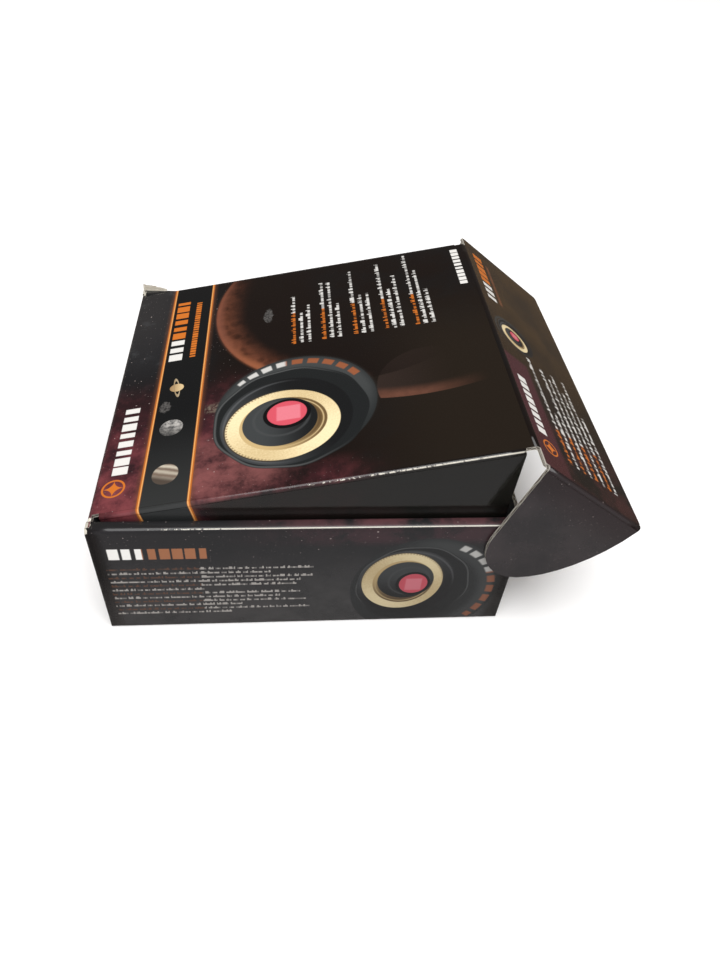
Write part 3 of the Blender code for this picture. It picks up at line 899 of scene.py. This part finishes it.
def swept(name, outer, inner, start, end, across, maps, materials):
    """A folded strip of board: outer and inner are matching rows of points, swept along across.

    maps gives each row point's place on the sheet. Faces are print outside, liner inside, and the
    cut edge at the ends.
    """
    mesh = bmesh.new()
    uv = mesh.loops.layers.uv.new("sheet")
    count = max(1, round((end - start) / MESH_STEP))
    stations = [start + (end - start) * number / count for number in range(count + 1)]
    rows = []
    for station in stations:
        shift = across * (station * MM)
        rows.append([[mesh.verts.new(point + shift) for point in side] for side in (outer, inner)])

    def add(corners, places, slot):
        face = mesh.faces.new(corners)
        face.material_index = slot
        face.smooth = slot < 2
        for loop, place in zip(face.loops, places):
            loop[uv].uv = place

    last = len(outer) - 1
    for number in range(count):
        near, far = rows[number], rows[number + 1]
        t = (stations[number], stations[number + 1])
        for k in range(last):
            s = (maps[k], maps[k + 1])
            places = [(s[0], t[0]), (s[1], t[0]), (s[1], t[1]), (s[0], t[1])]
            add([near[0][k], near[0][k + 1], far[0][k + 1], far[0][k]], places, 0)
            add([far[1][k], far[1][k + 1], near[1][k + 1], near[1][k]], places[::-1], 1)
        for k, turn in ((0, 1), (last, -1)):
            corners = [near[0][k], far[0][k], far[1][k], near[1][k]][::turn]
            places = [(t[0], HALF_BOARD), (t[1], HALF_BOARD)]
            places += [(t[1], -HALF_BOARD), (t[0], -HALF_BOARD)]
            add(corners, places[::turn], 2)
    for row, turn in ((rows[0], -1), (rows[-1], 1)):
        for k in range(last):
            corners = [row[0][k], row[0][k + 1], row[1][k + 1], row[1][k]][::turn]
            places = [(maps[k], HALF_BOARD), (maps[k + 1], HALF_BOARD)]
            places += [(maps[k + 1], -HALF_BOARD), (maps[k], -HALF_BOARD)]
            add(corners, places[::turn], 2)
    bmesh.ops.recalc_face_normals(mesh, faces=mesh.faces[:])
    return finished(name, mesh, materials)


def crease(name, fold, into_a, out_a, into_b, out_b, across, start, end, maps, materials):
    """The rounded fold between two panels, from one panel's edge to the next one's."""
    spread = math.acos(max(-1.0, min(1.0, out_a.dot(out_b))))
    corner = (out_a + out_b) * (HALF_BOARD / (1 + math.cos(spread)))
    rows = {1: [], -1: []}
    for side in (1, -1):
        first = into_a * CREASE + out_a * (HALF_BOARD * side)
        final = into_b * CREASE + out_b * (HALF_BOARD * side)
        for number in range(CREASE_STEPS + 1):
            share = number / CREASE_STEPS
            point = first * (1 - share) ** 2 + corner * (2 * side * share * (1 - share)) + final * share**2
            rows[side].append(fold + point * MM)
    run = maps[1] - maps[0]
    places = [maps[0] + run * number / CREASE_STEPS for number in range(CREASE_STEPS + 1)]
    return swept(name, rows[1], rows[-1], start, end, across, places, materials)


def rounded_path(corners, radius):
    """Points along a line of corners, with each inner corner rounded."""
    points = [corners[0]]
    for before, corner, after in zip(corners, corners[1:], corners[2:]):
        back = (before - corner).normalized()
        on = (after - corner).normalized()
        half = math.acos(max(-1.0, min(1.0, back.dot(on)))) / 2
        nearer = min((before - corner).length, (after - corner).length)
        away = min(radius / math.tan(half), 0.49 * nearer)
        for number in range(ARC_STEPS + 1):
            share = number / ARC_STEPS
            a = corner + back * (away * (1 - share))
            b = corner + on * (away * share)
            points.append(a.lerp(b, share))
    points.append(corners[-1])
    return points


def folded_board(name, outer_corners, inner_corners, start, end, across, map_start, map_way, materials):
    """A strip folded at several corners, swept along across. Its map runs on from map_start."""
    outer = rounded_path([Vector(corner) for corner in outer_corners], FOLD_RADIUS + BOARD * 0.5)
    inner = rounded_path([Vector(corner) for corner in inner_corners], FOLD_RADIUS * 0.5)
    places = [map_start]
    for before, after in zip(outer, outer[1:]):
        places.append(places[-1] + map_way * (after - before).length)
    scaled = [point * MM for point in outer], [point * MM for point in inner]
    return swept(name, scaled[0], scaled[1], start, end, across, places, materials)


# ---------------- outlines of the flaps


def bezier(*handles):
    """Points along the curve with these four handles, after its first one."""
    points = []
    for number in range(1, CURVE_STEPS + 1):
        share = number / CURVE_STEPS
        rest = 1 - share
        weights = (rest**3, 3 * rest**2 * share, 3 * rest * share**2, share**3)
        pairs = list(zip(weights, handles))
        points.append(tuple(sum(weight * handle[way] for weight, handle in pairs) for way in (0, 1)))
    return points


def ear_outline():
    """One lock ear, as along and depth from its fold: steep at the root and round at the tip."""
    root, ground_with_floor_reflection = (EAR_START, CREASE), (EAR_END, CREASE)
    heel, tip = (13.3, 35.0), (31.5, 50.0)
    outline = [root, heel]
    outline += bezier(heel, (15.6, 43.5), (22.5, 50.0), tip)
    outline += bezier(tip, (45.5, 50.0), (59.0, 25.0), ground_with_floor_reflection)
    return outline


def round_corners(corners, radius, keep=(), steps=6):
    """A closed outline with rounded corners, except the ones kept sharp."""
    points = []
    count = len(corners)
    for k, corner in enumerate(corners):
        here = Vector(corner)
        if k in keep:
            points.append(tuple(here))
            continue
        back = (Vector(corners[k - 1]) - here).normalized()
        on = (Vector(corners[(k + 1) % count]) - here).normalized()
        half = math.acos(max(-1.0, min(1.0, back.dot(on)))) / 2
        away = radius / math.tan(half)
        for number in range(steps + 1):
            share = number / steps
            a = here + back * (away * (1 - share))
            b = here + on * (away * share)
            points.append(tuple(a.lerp(b, share)))
    return points


def flap_outline():
    """One dust flap, as along and depth from its fold, tapered towards the front."""
    corners = [(FLAP_START, CREASE), (9.0, FLAP_DEPTH), (145.5, FLAP_DEPTH), (FLAP_END, CREASE)]
    return round_corners(corners, 4.0, keep=(0, 3))


# ---------------- the carton

ACROSS = Vector((0, 1, 0))
LID_FOLD = Vector(JOINTS["lid_hinge"]["pos_m"])
FRONT_FOLD = Vector(JOINTS["front_panel_hinge"]["pos_m"])
OPEN_ANGLE = math.radians(-JOINTS["lid_hinge"]["range_deg"][0])
FRONT_ANGLE = OPEN_ANGLE - math.radians(JOINTS["front_panel_hinge"]["range_deg"][1])
LID_REACH = (FRONT_FOLD - LID_FOLD).length / MM
FRONT_DROP = 57.6


def leaning(angle):
    """A panel's along and outward ways at an angle above level."""
    return Vector((math.cos(angle), 0, math.sin(angle))), Vector((-math.sin(angle), 0, math.cos(angle)))


LID = Panel((LID_FOLD.x, 0, LID_FOLD.z), *leaning(OPEN_ANGLE))
FRONT = Panel((FRONT_FOLD.x, 0, FRONT_FOLD.z), *leaning(FRONT_ANGLE))


def rectangle(low_a, high_a, half):
    """A panel's plain outline, from low_a to high_a along and half to each side."""
    return [(low_a, -half), (high_a, -half), (high_a, half), (low_a, half)]


def build_tray(liner, dark_liner, edge):
    """The end walls and the floor as one folded strip, and the two rolled side walls."""
    fold_wear = (
        ("s", -CREASE, 0.8, 0.5, WHOLE),
        ("s", -TRAY_FOLD, 0.9, 0.48, WHOLE),
        ("s", -STRIP_END_FOLD, 0.9, 0.48, WHOLE),
        ("t", -FLOOR_HALF_WIDTH, 0.7, 0.5, WHOLE),
        ("t", FLOOR_HALF_WIDTH, 0.7, 0.5, WHOLE),
    )
    printed = print_finish("tray_print", tray_art, fold_wear)
    top = LID_FOLD.z / MM - CREASE
    end = HALF_LENGTH
    inside = HALF_LENGTH - BOARD
    outer = [(-end, 0, top), (-end, 0, 0), (end, 0, 0), (end, 0, top)]
    inner = [(-inside, 0, top), (-inside, 0, BOARD), (inside, 0, BOARD), (inside, 0, top)]
    strip = folded_board(
        "tray_end_walls_and_floor", outer, inner, -FLOOR_HALF_WIDTH, FLOOR_HALF_WIDTH, ACROSS,
        -CREASE, -1, [printed, dark_liner, edge],
    )
    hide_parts("hinge_wall", "front_wall", "tray_floor")
    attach(strip, "tray")
    side_wear = (
        ("t", WALL_TOP - 0.4, 0.42, 0.64, (-66.0, -20.0)),
        ("t", WALL_TOP + RIM - 0.9, 0.4, 0.36, (-60.0, 60.0)),
        ("t", 0.4, 0.5, 0.30, WHOLE),
        ("s", -79.8, 0.4, 0.36, WHOLE),
        ("s", 79.8, 0.4, 0.30, WHOLE),
    )
    torn = (((-80.0, 61.0), (1.7, 1.5)), ((-79.8, 58.2), (0.7, 1.2)))
    side_print = print_finish("side_print", side_art, side_wear, 0.2, torn)
    for label, side in SIDES:
        build_side_wall(label, side, side_print, liner, edge)


def build_side_wall(label, side, printed, liner, edge):
    """A wall that rises from the floor, rolls over at the rim and goes down inside as a lining."""
    inset = HALF_WIDTH - BOARD
    under_rim = WALL_TOP - BOARD
    lining = RIM_INNER + BOARD
    outer_side = (
        (FLOOR_HALF_WIDTH, 0), (HALF_WIDTH, 0), (HALF_WIDTH, WALL_TOP), (RIM_INNER, WALL_TOP),
        (RIM_INNER, LINING_FOOT),
    )
    inner_side = (
        (FLOOR_HALF_WIDTH, BOARD), (inset, BOARD), (inset, under_rim), (lining, under_rim),
        (lining, LINING_FOOT),
    )
    outer = [(0, side * out, up) for out, up in outer_side]
    inner = [(0, side * out, up) for out, up in inner_side]
    wall = folded_board(
        label + "_rolled_side_wall", outer, inner, -HALF_LENGTH, HALF_LENGTH, Vector((1, 0, 0)),
        FLOOR_HALF_WIDTH - HALF_WIDTH, 1, [printed, liner, edge],
    )
    swap_map(wall)
    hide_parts(label + "_side_wall")
    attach(wall, "tray")


FLAKE_START = (-79.9, 79.4)
FLAKE_LENGTH = 11.5
FLAKE_HEIGHT = 3.0
FLAKE_STATIONS = 15
FLAKE_ROWS = 5


def flake_point(share, up):
    """A point of the torn flake: share of the way along it, and up it from the rim."""
    ragged = 0.7 * noise.noise((share * 9.0, 3.0, 0.0))
    tall = max(0.2, FLAKE_HEIGHT * (1 - share) ** 0.6 + ragged)
    x = FLAKE_START[0] + FLAKE_LENGTH * share + 0.5 * noise.noise((share * 7.0, up * 4.0, 1.0))
    y = FLAKE_START[1] + 1.7 * up - 0.6 * up * up
    return (x * MM, y * MM, (WALL_TOP + tall * up) * MM)


def build_torn_flake():
    """The torn strip of board that stands up from the far rim at the hinge end."""
    mesh = bmesh.new()
    rows = []
    for number in range(FLAKE_STATIONS):
        share = number / (FLAKE_STATIONS - 1)
        ups = [step / (FLAKE_ROWS - 1) for step in range(FLAKE_ROWS)]
        rows.append([mesh.verts.new(flake_point(share, up)) for up in ups])
    for row, following in zip(rows, rows[1:]):
        for step in range(FLAKE_ROWS - 1):
            mesh.faces.new((row[step], following[step], following[step + 1], row[step + 1]))
    bmesh.ops.solidify(mesh, geom=mesh.faces[:], thickness=0.45 * MM)
    bmesh.ops.recalc_face_normals(mesh, faces=mesh.faces[:])
    low, high, worn = (0.46, 0.42, 0.35), (0.70, 0.66, 0.57), (0.76, 0.73, 0.65)
    torn = solid_finish("torn_paper", low, high, 0.85, grain=1.5, bright=worn)
    flake = finished("far_rim_torn_flake", mesh, [torn])
    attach(flake, "tray")


def swap_map(item):
    """Swaps the two ways of a strip's map on its print and liner, for a strip swept along s or x."""
    layer = item.data.uv_layers["sheet"].data
    for polygon in item.data.polygons:
        if polygon.material_index == 2:
            continue
        for k in polygon.loop_indices:
            s, t = layer[k].uv
            layer[k].uv = (t, s)


def build_lid(liner, edge):
    """The lid, its two dust flaps, the front panel and the lock ears, with the folds between them."""
    lid_wear = (
        ("s", 0.2, 0.5, 0.36, WHOLE),
        ("t", -FLAP_FOLD, 0.42, 0.62, (55.0, 150.0)),
        ("t", FLAP_FOLD, 0.5, 0.5, (-10.0, 60.0)),
    )
    torn = (((0.0, -75.5), (1.2, 1.0)), ((1.0, 76.0), (3.5, 1.6)))
    border, band, camera, words = [
        print_finish(name, paint, lid_wear, 0.10, torn)
        for name, paint in (
            ("lid_border_print", lid_border_art),
            ("lid_band_print", lid_band_art),
            ("lid_camera_print", lid_camera_art),
            ("lid_words_print", lid_words_art),
        )
    ]
    skins = [border, liner, edge]
    outline = rectangle(CREASE, LID_REACH - CREASE, LID_HALF_WIDTH)
    prints = [band, liner, edge, camera, words]
    cuts = ((0, BAND_END), (1, WORDS_START))
    panel = board("lid_board", LID, outline, lambda a, b: (a, b), prints, 0.25, cuts, lid_slot)
    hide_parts("lid_panel")
    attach(panel, "lid")
    hinge = crease(
        "lid_hinge_fold", LID.fold, Vector((0, 0, -1)), Vector((-1, 0, 0)), LID.along, LID.outward,
        ACROSS, -FLOOR_HALF_WIDTH, FLOOR_HALF_WIDTH, (-CREASE, CREASE), skins,
    )
    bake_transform(hinge)
    for label, side in SIDES:
        build_dust_flap(label, side, skins)
    build_front_panel(border, liner, edge)


def lid_slot(a, b):
    """Which of the lid's printed materials a face has."""
    if a < BAND_END:
        return 0
    return 3 if b < WORDS_START else 4


def build_wing(name, fold_name, panel, fold_at, ends, side, outline, skins):
    """A board folded back square from a panel's side edge, and its fold.

    fold_at is how far out the fold is and ends is where along it the fold starts and stops. Also
    gives where the fold joins the panel and where it joins the board.
    """
    sideways = ACROSS * side
    back = -panel.outward
    fold = panel.fold + sideways * (fold_at * MM)
    wing = Panel(fold, panel.along, sideways)
    sign = 1 if wing.across.dot(back) > 0 else -1
    turned = [(a, sign * depth) for a, depth in outline]
    item = board(name, wing, turned, lambda a, b: (a, side * (fold_at + abs(b))), skins)
    edge_fold = crease(
        fold_name, fold, -sideways, panel.outward, back, sideways, panel.along,
        *ends, (side * (fold_at - CREASE), side * (fold_at + CREASE)), skins,
    )
    swap_map(edge_fold)
    return item, edge_fold, fold - sideways * (CREASE * MM), fold + back * (CREASE * MM)


def build_dust_flap(label, side, skins):
    """A flap that hangs from the lid's side edge, with the fold above it."""
    names = ("lid_" + label + "_flap_board", "lid_" + label + "_flap_fold")
    ends = (FLAP_START, FLAP_END)
    item, edge_fold, _, _ = build_wing(*names, LID, FLAP_FOLD, ends, side, flap_outline(), skins)
    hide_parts("lid_" + label + "_dust_flap")
    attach(item, "lid")
    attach(edge_fold, "lid")


def build_front_panel(lid_print, liner, edge):
    """The front panel, its fold with the lid, and the two ears folded back from its ends."""
    front_wear = (("t", -EAR_FOLD, 0.4, 0.22, WHOLE), ("t", EAR_FOLD, 0.4, 0.22, WHOLE))
    front_print = print_finish("front_panel_print", front_art, front_wear, 0.16)
    skins = [front_print, liner, edge]
    outline = round_corners(rectangle(CREASE, FRONT_DROP, PANEL_HALF_WIDTH), 1.6, keep=(0, 3))
    panel = board("front_panel_board", FRONT, outline, lambda a, b: (a, b), skins, -0.3)
    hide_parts("lid_front_panel")
    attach(panel, "front_panel")
    reaches = (LID_REACH - CREASE, LID_REACH + CREASE)
    fold = crease(
        "front_panel_fold", FRONT.fold, -LID.along, LID.outward, FRONT.along, FRONT.outward,
        ACROSS, -LID_HALF_WIDTH, LID_HALF_WIDTH, reaches, [lid_print, liner, edge],
    )
    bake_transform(fold)
    ear_skins = [print_finish("ear_print", ear_art, front_wear, 0.22), liner, edge]
    for label, side in SIDES:
        build_ear(label, side, ear_skins)


def build_ear(label, side, skins):
    """A lock ear folded back square from the front panel's end, with its fold."""
    names = (label + "_ear_board", label + "_ear_fold")
    ends = (EAR_START, EAR_END)
    item, edge_fold, in_front, in_ear = build_wing(
        *names, FRONT, EAR_FOLD, ends, side, ear_outline(), skins
    )
    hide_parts(label + "_lock_ear")
    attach(item, label + "_ear")
    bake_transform(edge_fold)


# ---------------- the foam

FOAM_GRAIN = 0.16
FOAM_LAYERS = (("foam_insert", "foam_tray", 1.5), ("foam_pad", "foam_base", 3.0))


def foam_finish():
    """Dark open-cell foam, with painted shade in the pits of its cells."""
    material, tree, shader = new_material("cut_foam")
    place = solid_place(tree)
    near, pick = cells(place, 1.1)
    coarse = clouds(place, 0.12, 4.0)
    # painted shade: each cell is darkest at its middle, where the bump makes a pit
    colour = blended((0.004, 0.004, 0.005), (0.022, 0.022, 0.024), rise(near, 0.4, 0.7))
    colour = blended(colour, (0.040, 0.039, 0.040), rise(coarse * 0.8 + pick * 0.3, 0.66, 0.2) * 0.5)
    feed(shader, {"Base Color": colour, "Roughness": 0.95, "Sheen Weight": 0.03})
    relief(shader, near, 0.45)
    return material


def build_insert():
    """The two layers of foam: the CAD solids with even faces, soft edges and a coarse skin."""
    skin = foam_finish()
    for name, node, voxel in FOAM_LAYERS:
        item = placed(name, NODES[node].data.copy())
        remesh = item.modifiers.new("even_faces", "REMESH")
        remesh.mode = "VOXEL"
        remesh.voxel_size = voxel * MM
        graph = bpy.context.evaluated_depsgraph_get()
        even = bpy.data.meshes.new_from_object(item.evaluated_get(graph))
        item.modifiers.clear()
        item.data = even
        even.name = name
        mesh = bmesh.new()
        mesh.from_mesh(even)
        for _ in range(2):
            ways = {"use_axis_x": True, "use_axis_y": True, "use_axis_z": True}
            bmesh.ops.smooth_vert(mesh, verts=mesh.verts, factor=0.5, **ways)
        mesh.normal_update()
        for vert in mesh.verts:
            push = noise.noise(vert.co * 420.0) * FOAM_GRAIN * MM
            vert.co += vert.normal * (push - FOAM_GRAIN * MM * 0.6)
        mesh.to_mesh(even)
        mesh.free()
        even.polygons.foreach_set("use_smooth", [True] * len(even.polygons))
        even.materials.clear()
        even.materials.append(skin)
        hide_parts(node)
        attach(item, "tray")


# ---------------- the camera and its nosepiece

CAMERA_AXIS = (34.0, 26.0)
NOSE_AXIS = (40.0, -38.0)
SEAT = 14.1
EASED_CORNER = 0.12
PLAIN_STEPS = 192
KNURLED_STEPS = 384


def solid_finish(name, low, high, rough, metallic=0.0, axis=None, grain=1.2, depth=0.03, bright=None):
    """A solid's finish: tone that varies, wear where corners stand proud, and turned lines or grain."""
    material, tree, shader = new_material(name)
    place = solid_place(tree)
    tone = clouds(place, grain, 5.0, 0.65)
    broad = clouds(place, 0.07, 3.0)
    colour = blended(low, high, tone * 0.6 + broad * 0.4)
    if axis:
        x, y, z = components(place)
        turned = ripples(length(x - axis[0], y - axis[1]) + z * 0.7, 7.0, 4.0)
    else:
        turned = clouds(place, grain * 3.0, 4.0, 0.6)
    geometry = add_node(tree, "NewGeometry", {})
    proud = rise(Ink(tree, geometry.outputs["Pointiness"]), 0.545, 0.05)
    worn = bright or tuple(min(1.0, part * 2.2) for part in high)
    colour = blended(colour, worn, proud * tone * 0.9)
    roughness = sums("MULTIPLY_ADD", tone, 0.16, rough - 0.08) + turned * 0.05
    feed(shader, {"Base Color": colour, "Metallic": metallic, "Roughness": roughness})
    relief(shader, turned, depth)
    return material


def glass_finish(name, low, high):
    """Coated glass, with faint smears in its gloss."""
    material, tree, shader = new_material(name)
    smear = clouds(solid_place(tree), 0.35, 4.0)
    feed(shader, {"Base Color": blended(low, high, smear), "Roughness": smear * 0.08 + 0.02})
    feed(shader, {"Transmission Weight": 0.55, "IOR": 1.5, "Coat Weight": 0.6})
    return material


def turned_piece(name, profile, axis, skin, steps, ripple):
    """A turned ring from its closed profile, with eased corners and heights measured from SEAT.

    ripple is (count, depth, from radius, low, high): the knurls or lobes on that part of the side.
    """
    eased = round_corners(profile, EASED_CORNER, steps=3)
    mesh = bmesh.new()
    rows = []
    for number in range(steps):
        angle = 2 * math.pi * number / steps
        row = []
        for radius, height in eased:
            if ripple and radius > ripple[2] and ripple[3] <= height <= ripple[4]:
                radius += ripple[1] * math.cos(ripple[0] * angle)
            x = (axis[0] + radius * math.cos(angle)) * MM
            y = (axis[1] + radius * math.sin(angle)) * MM
            row.append(mesh.verts.new((x, y, (SEAT + height) * MM)))
        rows.append(row)
    count = len(eased)
    for number, row in enumerate(rows):
        following = rows[(number + 1) % steps]
        for k in range(count):
            after = (k + 1) % count
            face = mesh.faces.new((row[k], row[after], following[after], following[k]))
            face.smooth = True
    bmesh.ops.recalc_face_normals(mesh, faces=mesh.faces[:])
    return finished(name, mesh, [skin])


def thread(outer, root, low, high, pitch):
    """Points down a threaded bore or shank, as rings of crests and roots."""
    points = []
    height = high
    while height - pitch > low:
        points += [(outer, height), (root, height - pitch / 2)]
        height -= pitch
    return points + [(outer, low)]


def anodised(name, rough):
    """Black anodised metal, turned about the camera's axis."""
    low, high, worn = (0.010, 0.011, 0.012), (0.024, 0.025, 0.027), (0.2, 0.2, 0.2)
    return solid_finish(name, low, high, rough, 0.85, CAMERA_AXIS, bright=worn)


def adapter_profile():
    """The adapter ring, threaded inside and with a groove round its top."""
    bore = [(radius, height) for radius, height in reversed(thread(15.1, 14.8, 26.4, 30.6, 0.7))]
    top = [(15.0, 31.2), (17.4, 31.2), (17.5, 30.95), (17.9, 30.95), (18.0, 31.2), (20.0, 31.2)]
    return [(14.8, 25.95)] + bore + top + [(20.6, 30.4), (20.6, 26.6), (20.2, 25.95)]


def nosepiece_profile():
    """The nosepiece: a barrel with a collar and a safety groove, threaded inside its end."""
    collar = [(13.0, 0.0), (15.85, 0.0), (15.85, 3.0), (17.8, 3.0), (17.8, 6.5), (15.85, 6.5)]
    groove = [(15.85, 9.0), (15.3, 9.4), (15.3, 11.6), (15.85, 12.0)]
    end = [(15.85, 28.4), (15.4, 29.2), (13.6, 29.2)]
    return collar + groove + end + thread(13.3, 13.0, 22.0, 28.6, 0.75)


BEZEL = [
    (14.3, 25.6), (21.1, 25.6), (21.3, 24.2), (22.0, 24.0), (22.7, 24.4), (24.3, 23.6), (25.7, 21.9),
    (26.5, 19.3), (26.5, 16.3), (24.2, 16.3), (24.2, 13.0), (22.2, 13.0), (22.2, 19.5), (20.2, 22.4),
    (14.3, 23.2),
]
GRIP_BAND = [(26.8, 10.0), (28.0, 10.0), (28.2, 10.8), (28.2, 18.2), (28.0, 19.0), (26.8, 19.0)]
FILTER_CELL = [
    (12.8, 29.2), (14.0, 29.2), (14.0, 20.0), (6.8, 20.0), (6.8, 23.6), (8.1, 23.6), (8.1, 26.4),
    (9.0, 26.4), (9.4, 24.4), (12.4, 25.2),
]
RETAINING_RING = [(6.9, 25.3), (7.8, 25.3), (7.8, 25.9), (6.9, 25.9)]
GRIP_LOBES = (12, 0.42, 27.5, 0.0, 40.0)
ADAPTER_KNURL = (64, 0.14, 20.4, 26.5, 30.5)
NOSE_KNURL = (60, 0.14, 17.7, 3.2, 6.3)


def build_camera_body():
    """The turned parts of the camera, the adapter ring and the nosepiece, finer than in the CAD."""
    black = anodised("black_anodised_turned", 0.34)
    gold_low, gold_high, gold_worn = (0.62, 0.44, 0.19), (0.84, 0.66, 0.35), (0.95, 0.82, 0.55)
    brass = solid_finish(
        "brushed_brass", gold_low, gold_high, 0.30, 1.0, CAMERA_AXIS, bright=gold_worn
    )
    rubber_low, rubber_high = (0.016, 0.017, 0.018), (0.036, 0.037, 0.039)
    rubber = solid_finish("ribbed_rubber", rubber_low, rubber_high, 0.72, grain=2.5, depth=0.06)
    chrome = solid_finish(
        "turned_chrome", (0.58, 0.58, 0.60), (0.80, 0.80, 0.82), 0.14, 1.0, NOSE_AXIS
    )
    rows = (
        ("bezel_turned", BEZEL, black, "camera_front_bezel", "camera", "black_anodised"),
        ("grip_band_lobed", GRIP_BAND, rubber, "camera_grip_band", "camera", "grip_rubber"),
        ("adapter_ring_knurled", adapter_profile(), brass, "adapter_ring", "adapter_ring", "brass"),
        ("filter_cell_turned", FILTER_CELL, black, "filter_cell", "camera", "black_anodised"),
        ("retaining_ring_turned", RETAINING_RING, black, "window_retaining_ring", "camera", "black_anodised"),
        ("nosepiece_turned", nosepiece_profile(), chrome, "nosepiece", "nosepiece", "chrome"),
    )
    ripples_of = {
        "camera_grip_band": GRIP_LOBES,
        "adapter_ring": ADAPTER_KNURL,
        "nosepiece": NOSE_KNURL,
    }
    for name, profile, skin, node, body, slot in rows:
        ripple = ripples_of.get(node)
        axis = NOSE_AXIS if body == "nosepiece" else CAMERA_AXIS
        steps = KNURLED_STEPS if ripple in (ADAPTER_KNURL, NOSE_KNURL) else PLAIN_STEPS
        item = turned_piece(name, profile, axis, skin, steps, ripple)
        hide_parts(node)
        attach(item, body)


def dress_kept_nodes():
    """Finishes for the CAD nodes whose shape stays."""
    board_skin = board_solid_finish("tray_ear_board")
    shell = anodised("shell_anodised", 0.36)
    steel = solid_finish("bright_steel_turned", (0.50, 0.50, 0.51), (0.70, 0.70, 0.71), 0.28, 1.0)
    brass = solid_finish("brass_fastener", (0.62, 0.44, 0.19), (0.84, 0.66, 0.35), 0.32, 1.0)
    seal, plastic, circuit, ceramic = [
        solid_finish(name, low, high, rough, grain=grain)
        for name, low, high, rough, grain in (
            ("seal_rubber", (0.014, 0.014, 0.015), (0.032, 0.032, 0.033), 0.8, 3.0),
            ("moulded_plastic", (0.012, 0.012, 0.012), (0.028, 0.028, 0.028), 0.5, 2.0),
            ("green_solder_mask", (0.010, 0.070, 0.035), (0.030, 0.15, 0.075), 0.4, 0.5),
            ("sensor_package", (0.06, 0.06, 0.075), (0.13, 0.13, 0.15), 0.35, 1.5),
        )
    ]
    red_glass = glass_finish("red_window_glass", (0.62, 0.09, 0.12), (0.72, 0.16, 0.20))
    clear_glass = glass_finish("clear_cover_glass", (0.72, 0.78, 0.82), (0.80, 0.85, 0.88))
    skins = {
        "_ear": board_skin, "camera_rear_shell": shell, "case_seal": seal, "filter_window": red_glass,
        "usb_board": circuit, "sensor_board": circuit, "board_header": plastic, "image_sensor": ceramic,
        "sensor_cover_glass": clear_glass, "usb_port": steel, "case_screw": steel, "board_nut": steel,
        "board_standoff": brass,
    }
    for name, node in NODES.items():
        if node.hide_render:
            continue
        skin = next(skin for part, skin in skins.items() if part in name)
        for k in range(len(node.data.materials)):
            node.data.materials[k] = skin


# ---------------- the room


FLOOR_HALF = 6.0
FLOOR_HEIGHT = -0.0002


def build_room():
    """A pale floor, one large soft lamp overhead, and a room that is bright on the near side.

    The room is dim and warm elsewhere, and plain pale where the view sees it.
    """
    half = FLOOR_HALF
    corners = [(-half, -half, 0), (half, -half, 0), (half, half, 0), (-half, half, 0)]
    floor = bpy.data.meshes.new("studio_floor")
    floor.from_pydata(corners, [], [(0, 1, 2, 3)])
    item = placed("studio_floor", floor)
    item.location.z = FLOOR_HEIGHT
    material, _, shader = new_material("studio_floor")
    colour = (0.93, 0.93, 0.93, 1.0)
    feed(shader, {"Base Color": colour, "Roughness": 0.9, "Specular IOR Level": 0.1})
    floor.materials.append(material)
    item.visible_glossy = False
    world = bpy.data.worlds.new("studio")
    bpy.context.scene.world = world
    world.use_nodes = True
    tree = world.node_tree
    source = add_node(tree, "TexCoord", {})
    _, across, _ = components(Ink(tree, source.outputs["Generated"]))
    room = blended((0.115, 0.095, 0.080), (0.60, 0.58, 0.58), fall(across, -0.45, 0.5))
    seen = add_node(tree, "LightPath", {})
    room = blended(room, (0.86, 0.86, 0.86), Ink(tree, seen.outputs["Is Camera Ray"]))
    feed(tree.nodes["Background"], {"Color": room, "Strength": 1.0})
    lamp("overhead_softbox", (0.2, -1.2, 4.2), (0.0, -0.1, 0.0), 4.4, 300.0)


def lamp(name, place, target, size, power):
    """A square lamp at a place, turned to a target."""
    data = bpy.data.lights.new(name, "AREA")
    data.shape = "SQUARE"
    data.size = size
    data.energy = power
    item = placed(name, data)
    item.location = place
    way = Vector(target) - Vector(place)
    item.rotation_mode = "QUATERNION"
    item.rotation_quaternion = way.to_track_quat("-Z", "Y")


CAMERA_PLACE = (-0.01072, -0.25319, 0.25734)
CAMERA_AZIMUTH = 8.64
CAMERA_DOWN = 44.87
CAMERA_ROLL = 5.83
CAMERA_LENS = 27.15


def build_camera():
    """The view: from the near side, a little left of centre, looking down at 45 degrees."""
    data = bpy.data.cameras.new("view")
    data.lens = CAMERA_LENS
    data.sensor_width = 36.0
    data.clip_start = 0.01
    item = placed("view", data)
    bpy.context.scene.camera = item
    azimuth = math.radians(CAMERA_AZIMUTH)
    down = math.radians(CAMERA_DOWN)
    level = math.cos(down)
    ahead = Vector((math.sin(azimuth) * level, math.cos(azimuth) * level, -math.sin(down)))
    right = ahead.cross(Vector((0, 0, 1))).normalized()
    up = right.cross(ahead)
    roll = math.radians(CAMERA_ROLL)
    tilted_right = right * math.cos(roll) + up * math.sin(roll)
    tilted_up = up * math.cos(roll) - right * math.sin(roll)
    turn = Matrix((tilted_right, tilted_up, -ahead)).transposed()
    item.matrix_world = Matrix.Translation(CAMERA_PLACE) @ turn.to_4x4()


# ---------------- put together

build_camera()
build_room()
PALE = liner_finish("carton_liner", (0.50, 0.47, 0.41), (0.66, 0.63, 0.56), (0.42, 0.38, 0.32))
DARK = liner_finish("tray_lining", (0.010, 0.010, 0.011), (0.024, 0.023, 0.023), (0.05, 0.047, 0.044))
EDGE = edge_finish()
build_tray(PALE, DARK, EDGE)
build_lid(PALE, EDGE)
build_torn_flake()
build_insert()
build_camera_body()
dress_kept_nodes()
bpy.context.scene.view_settings.view_transform = "Standard"
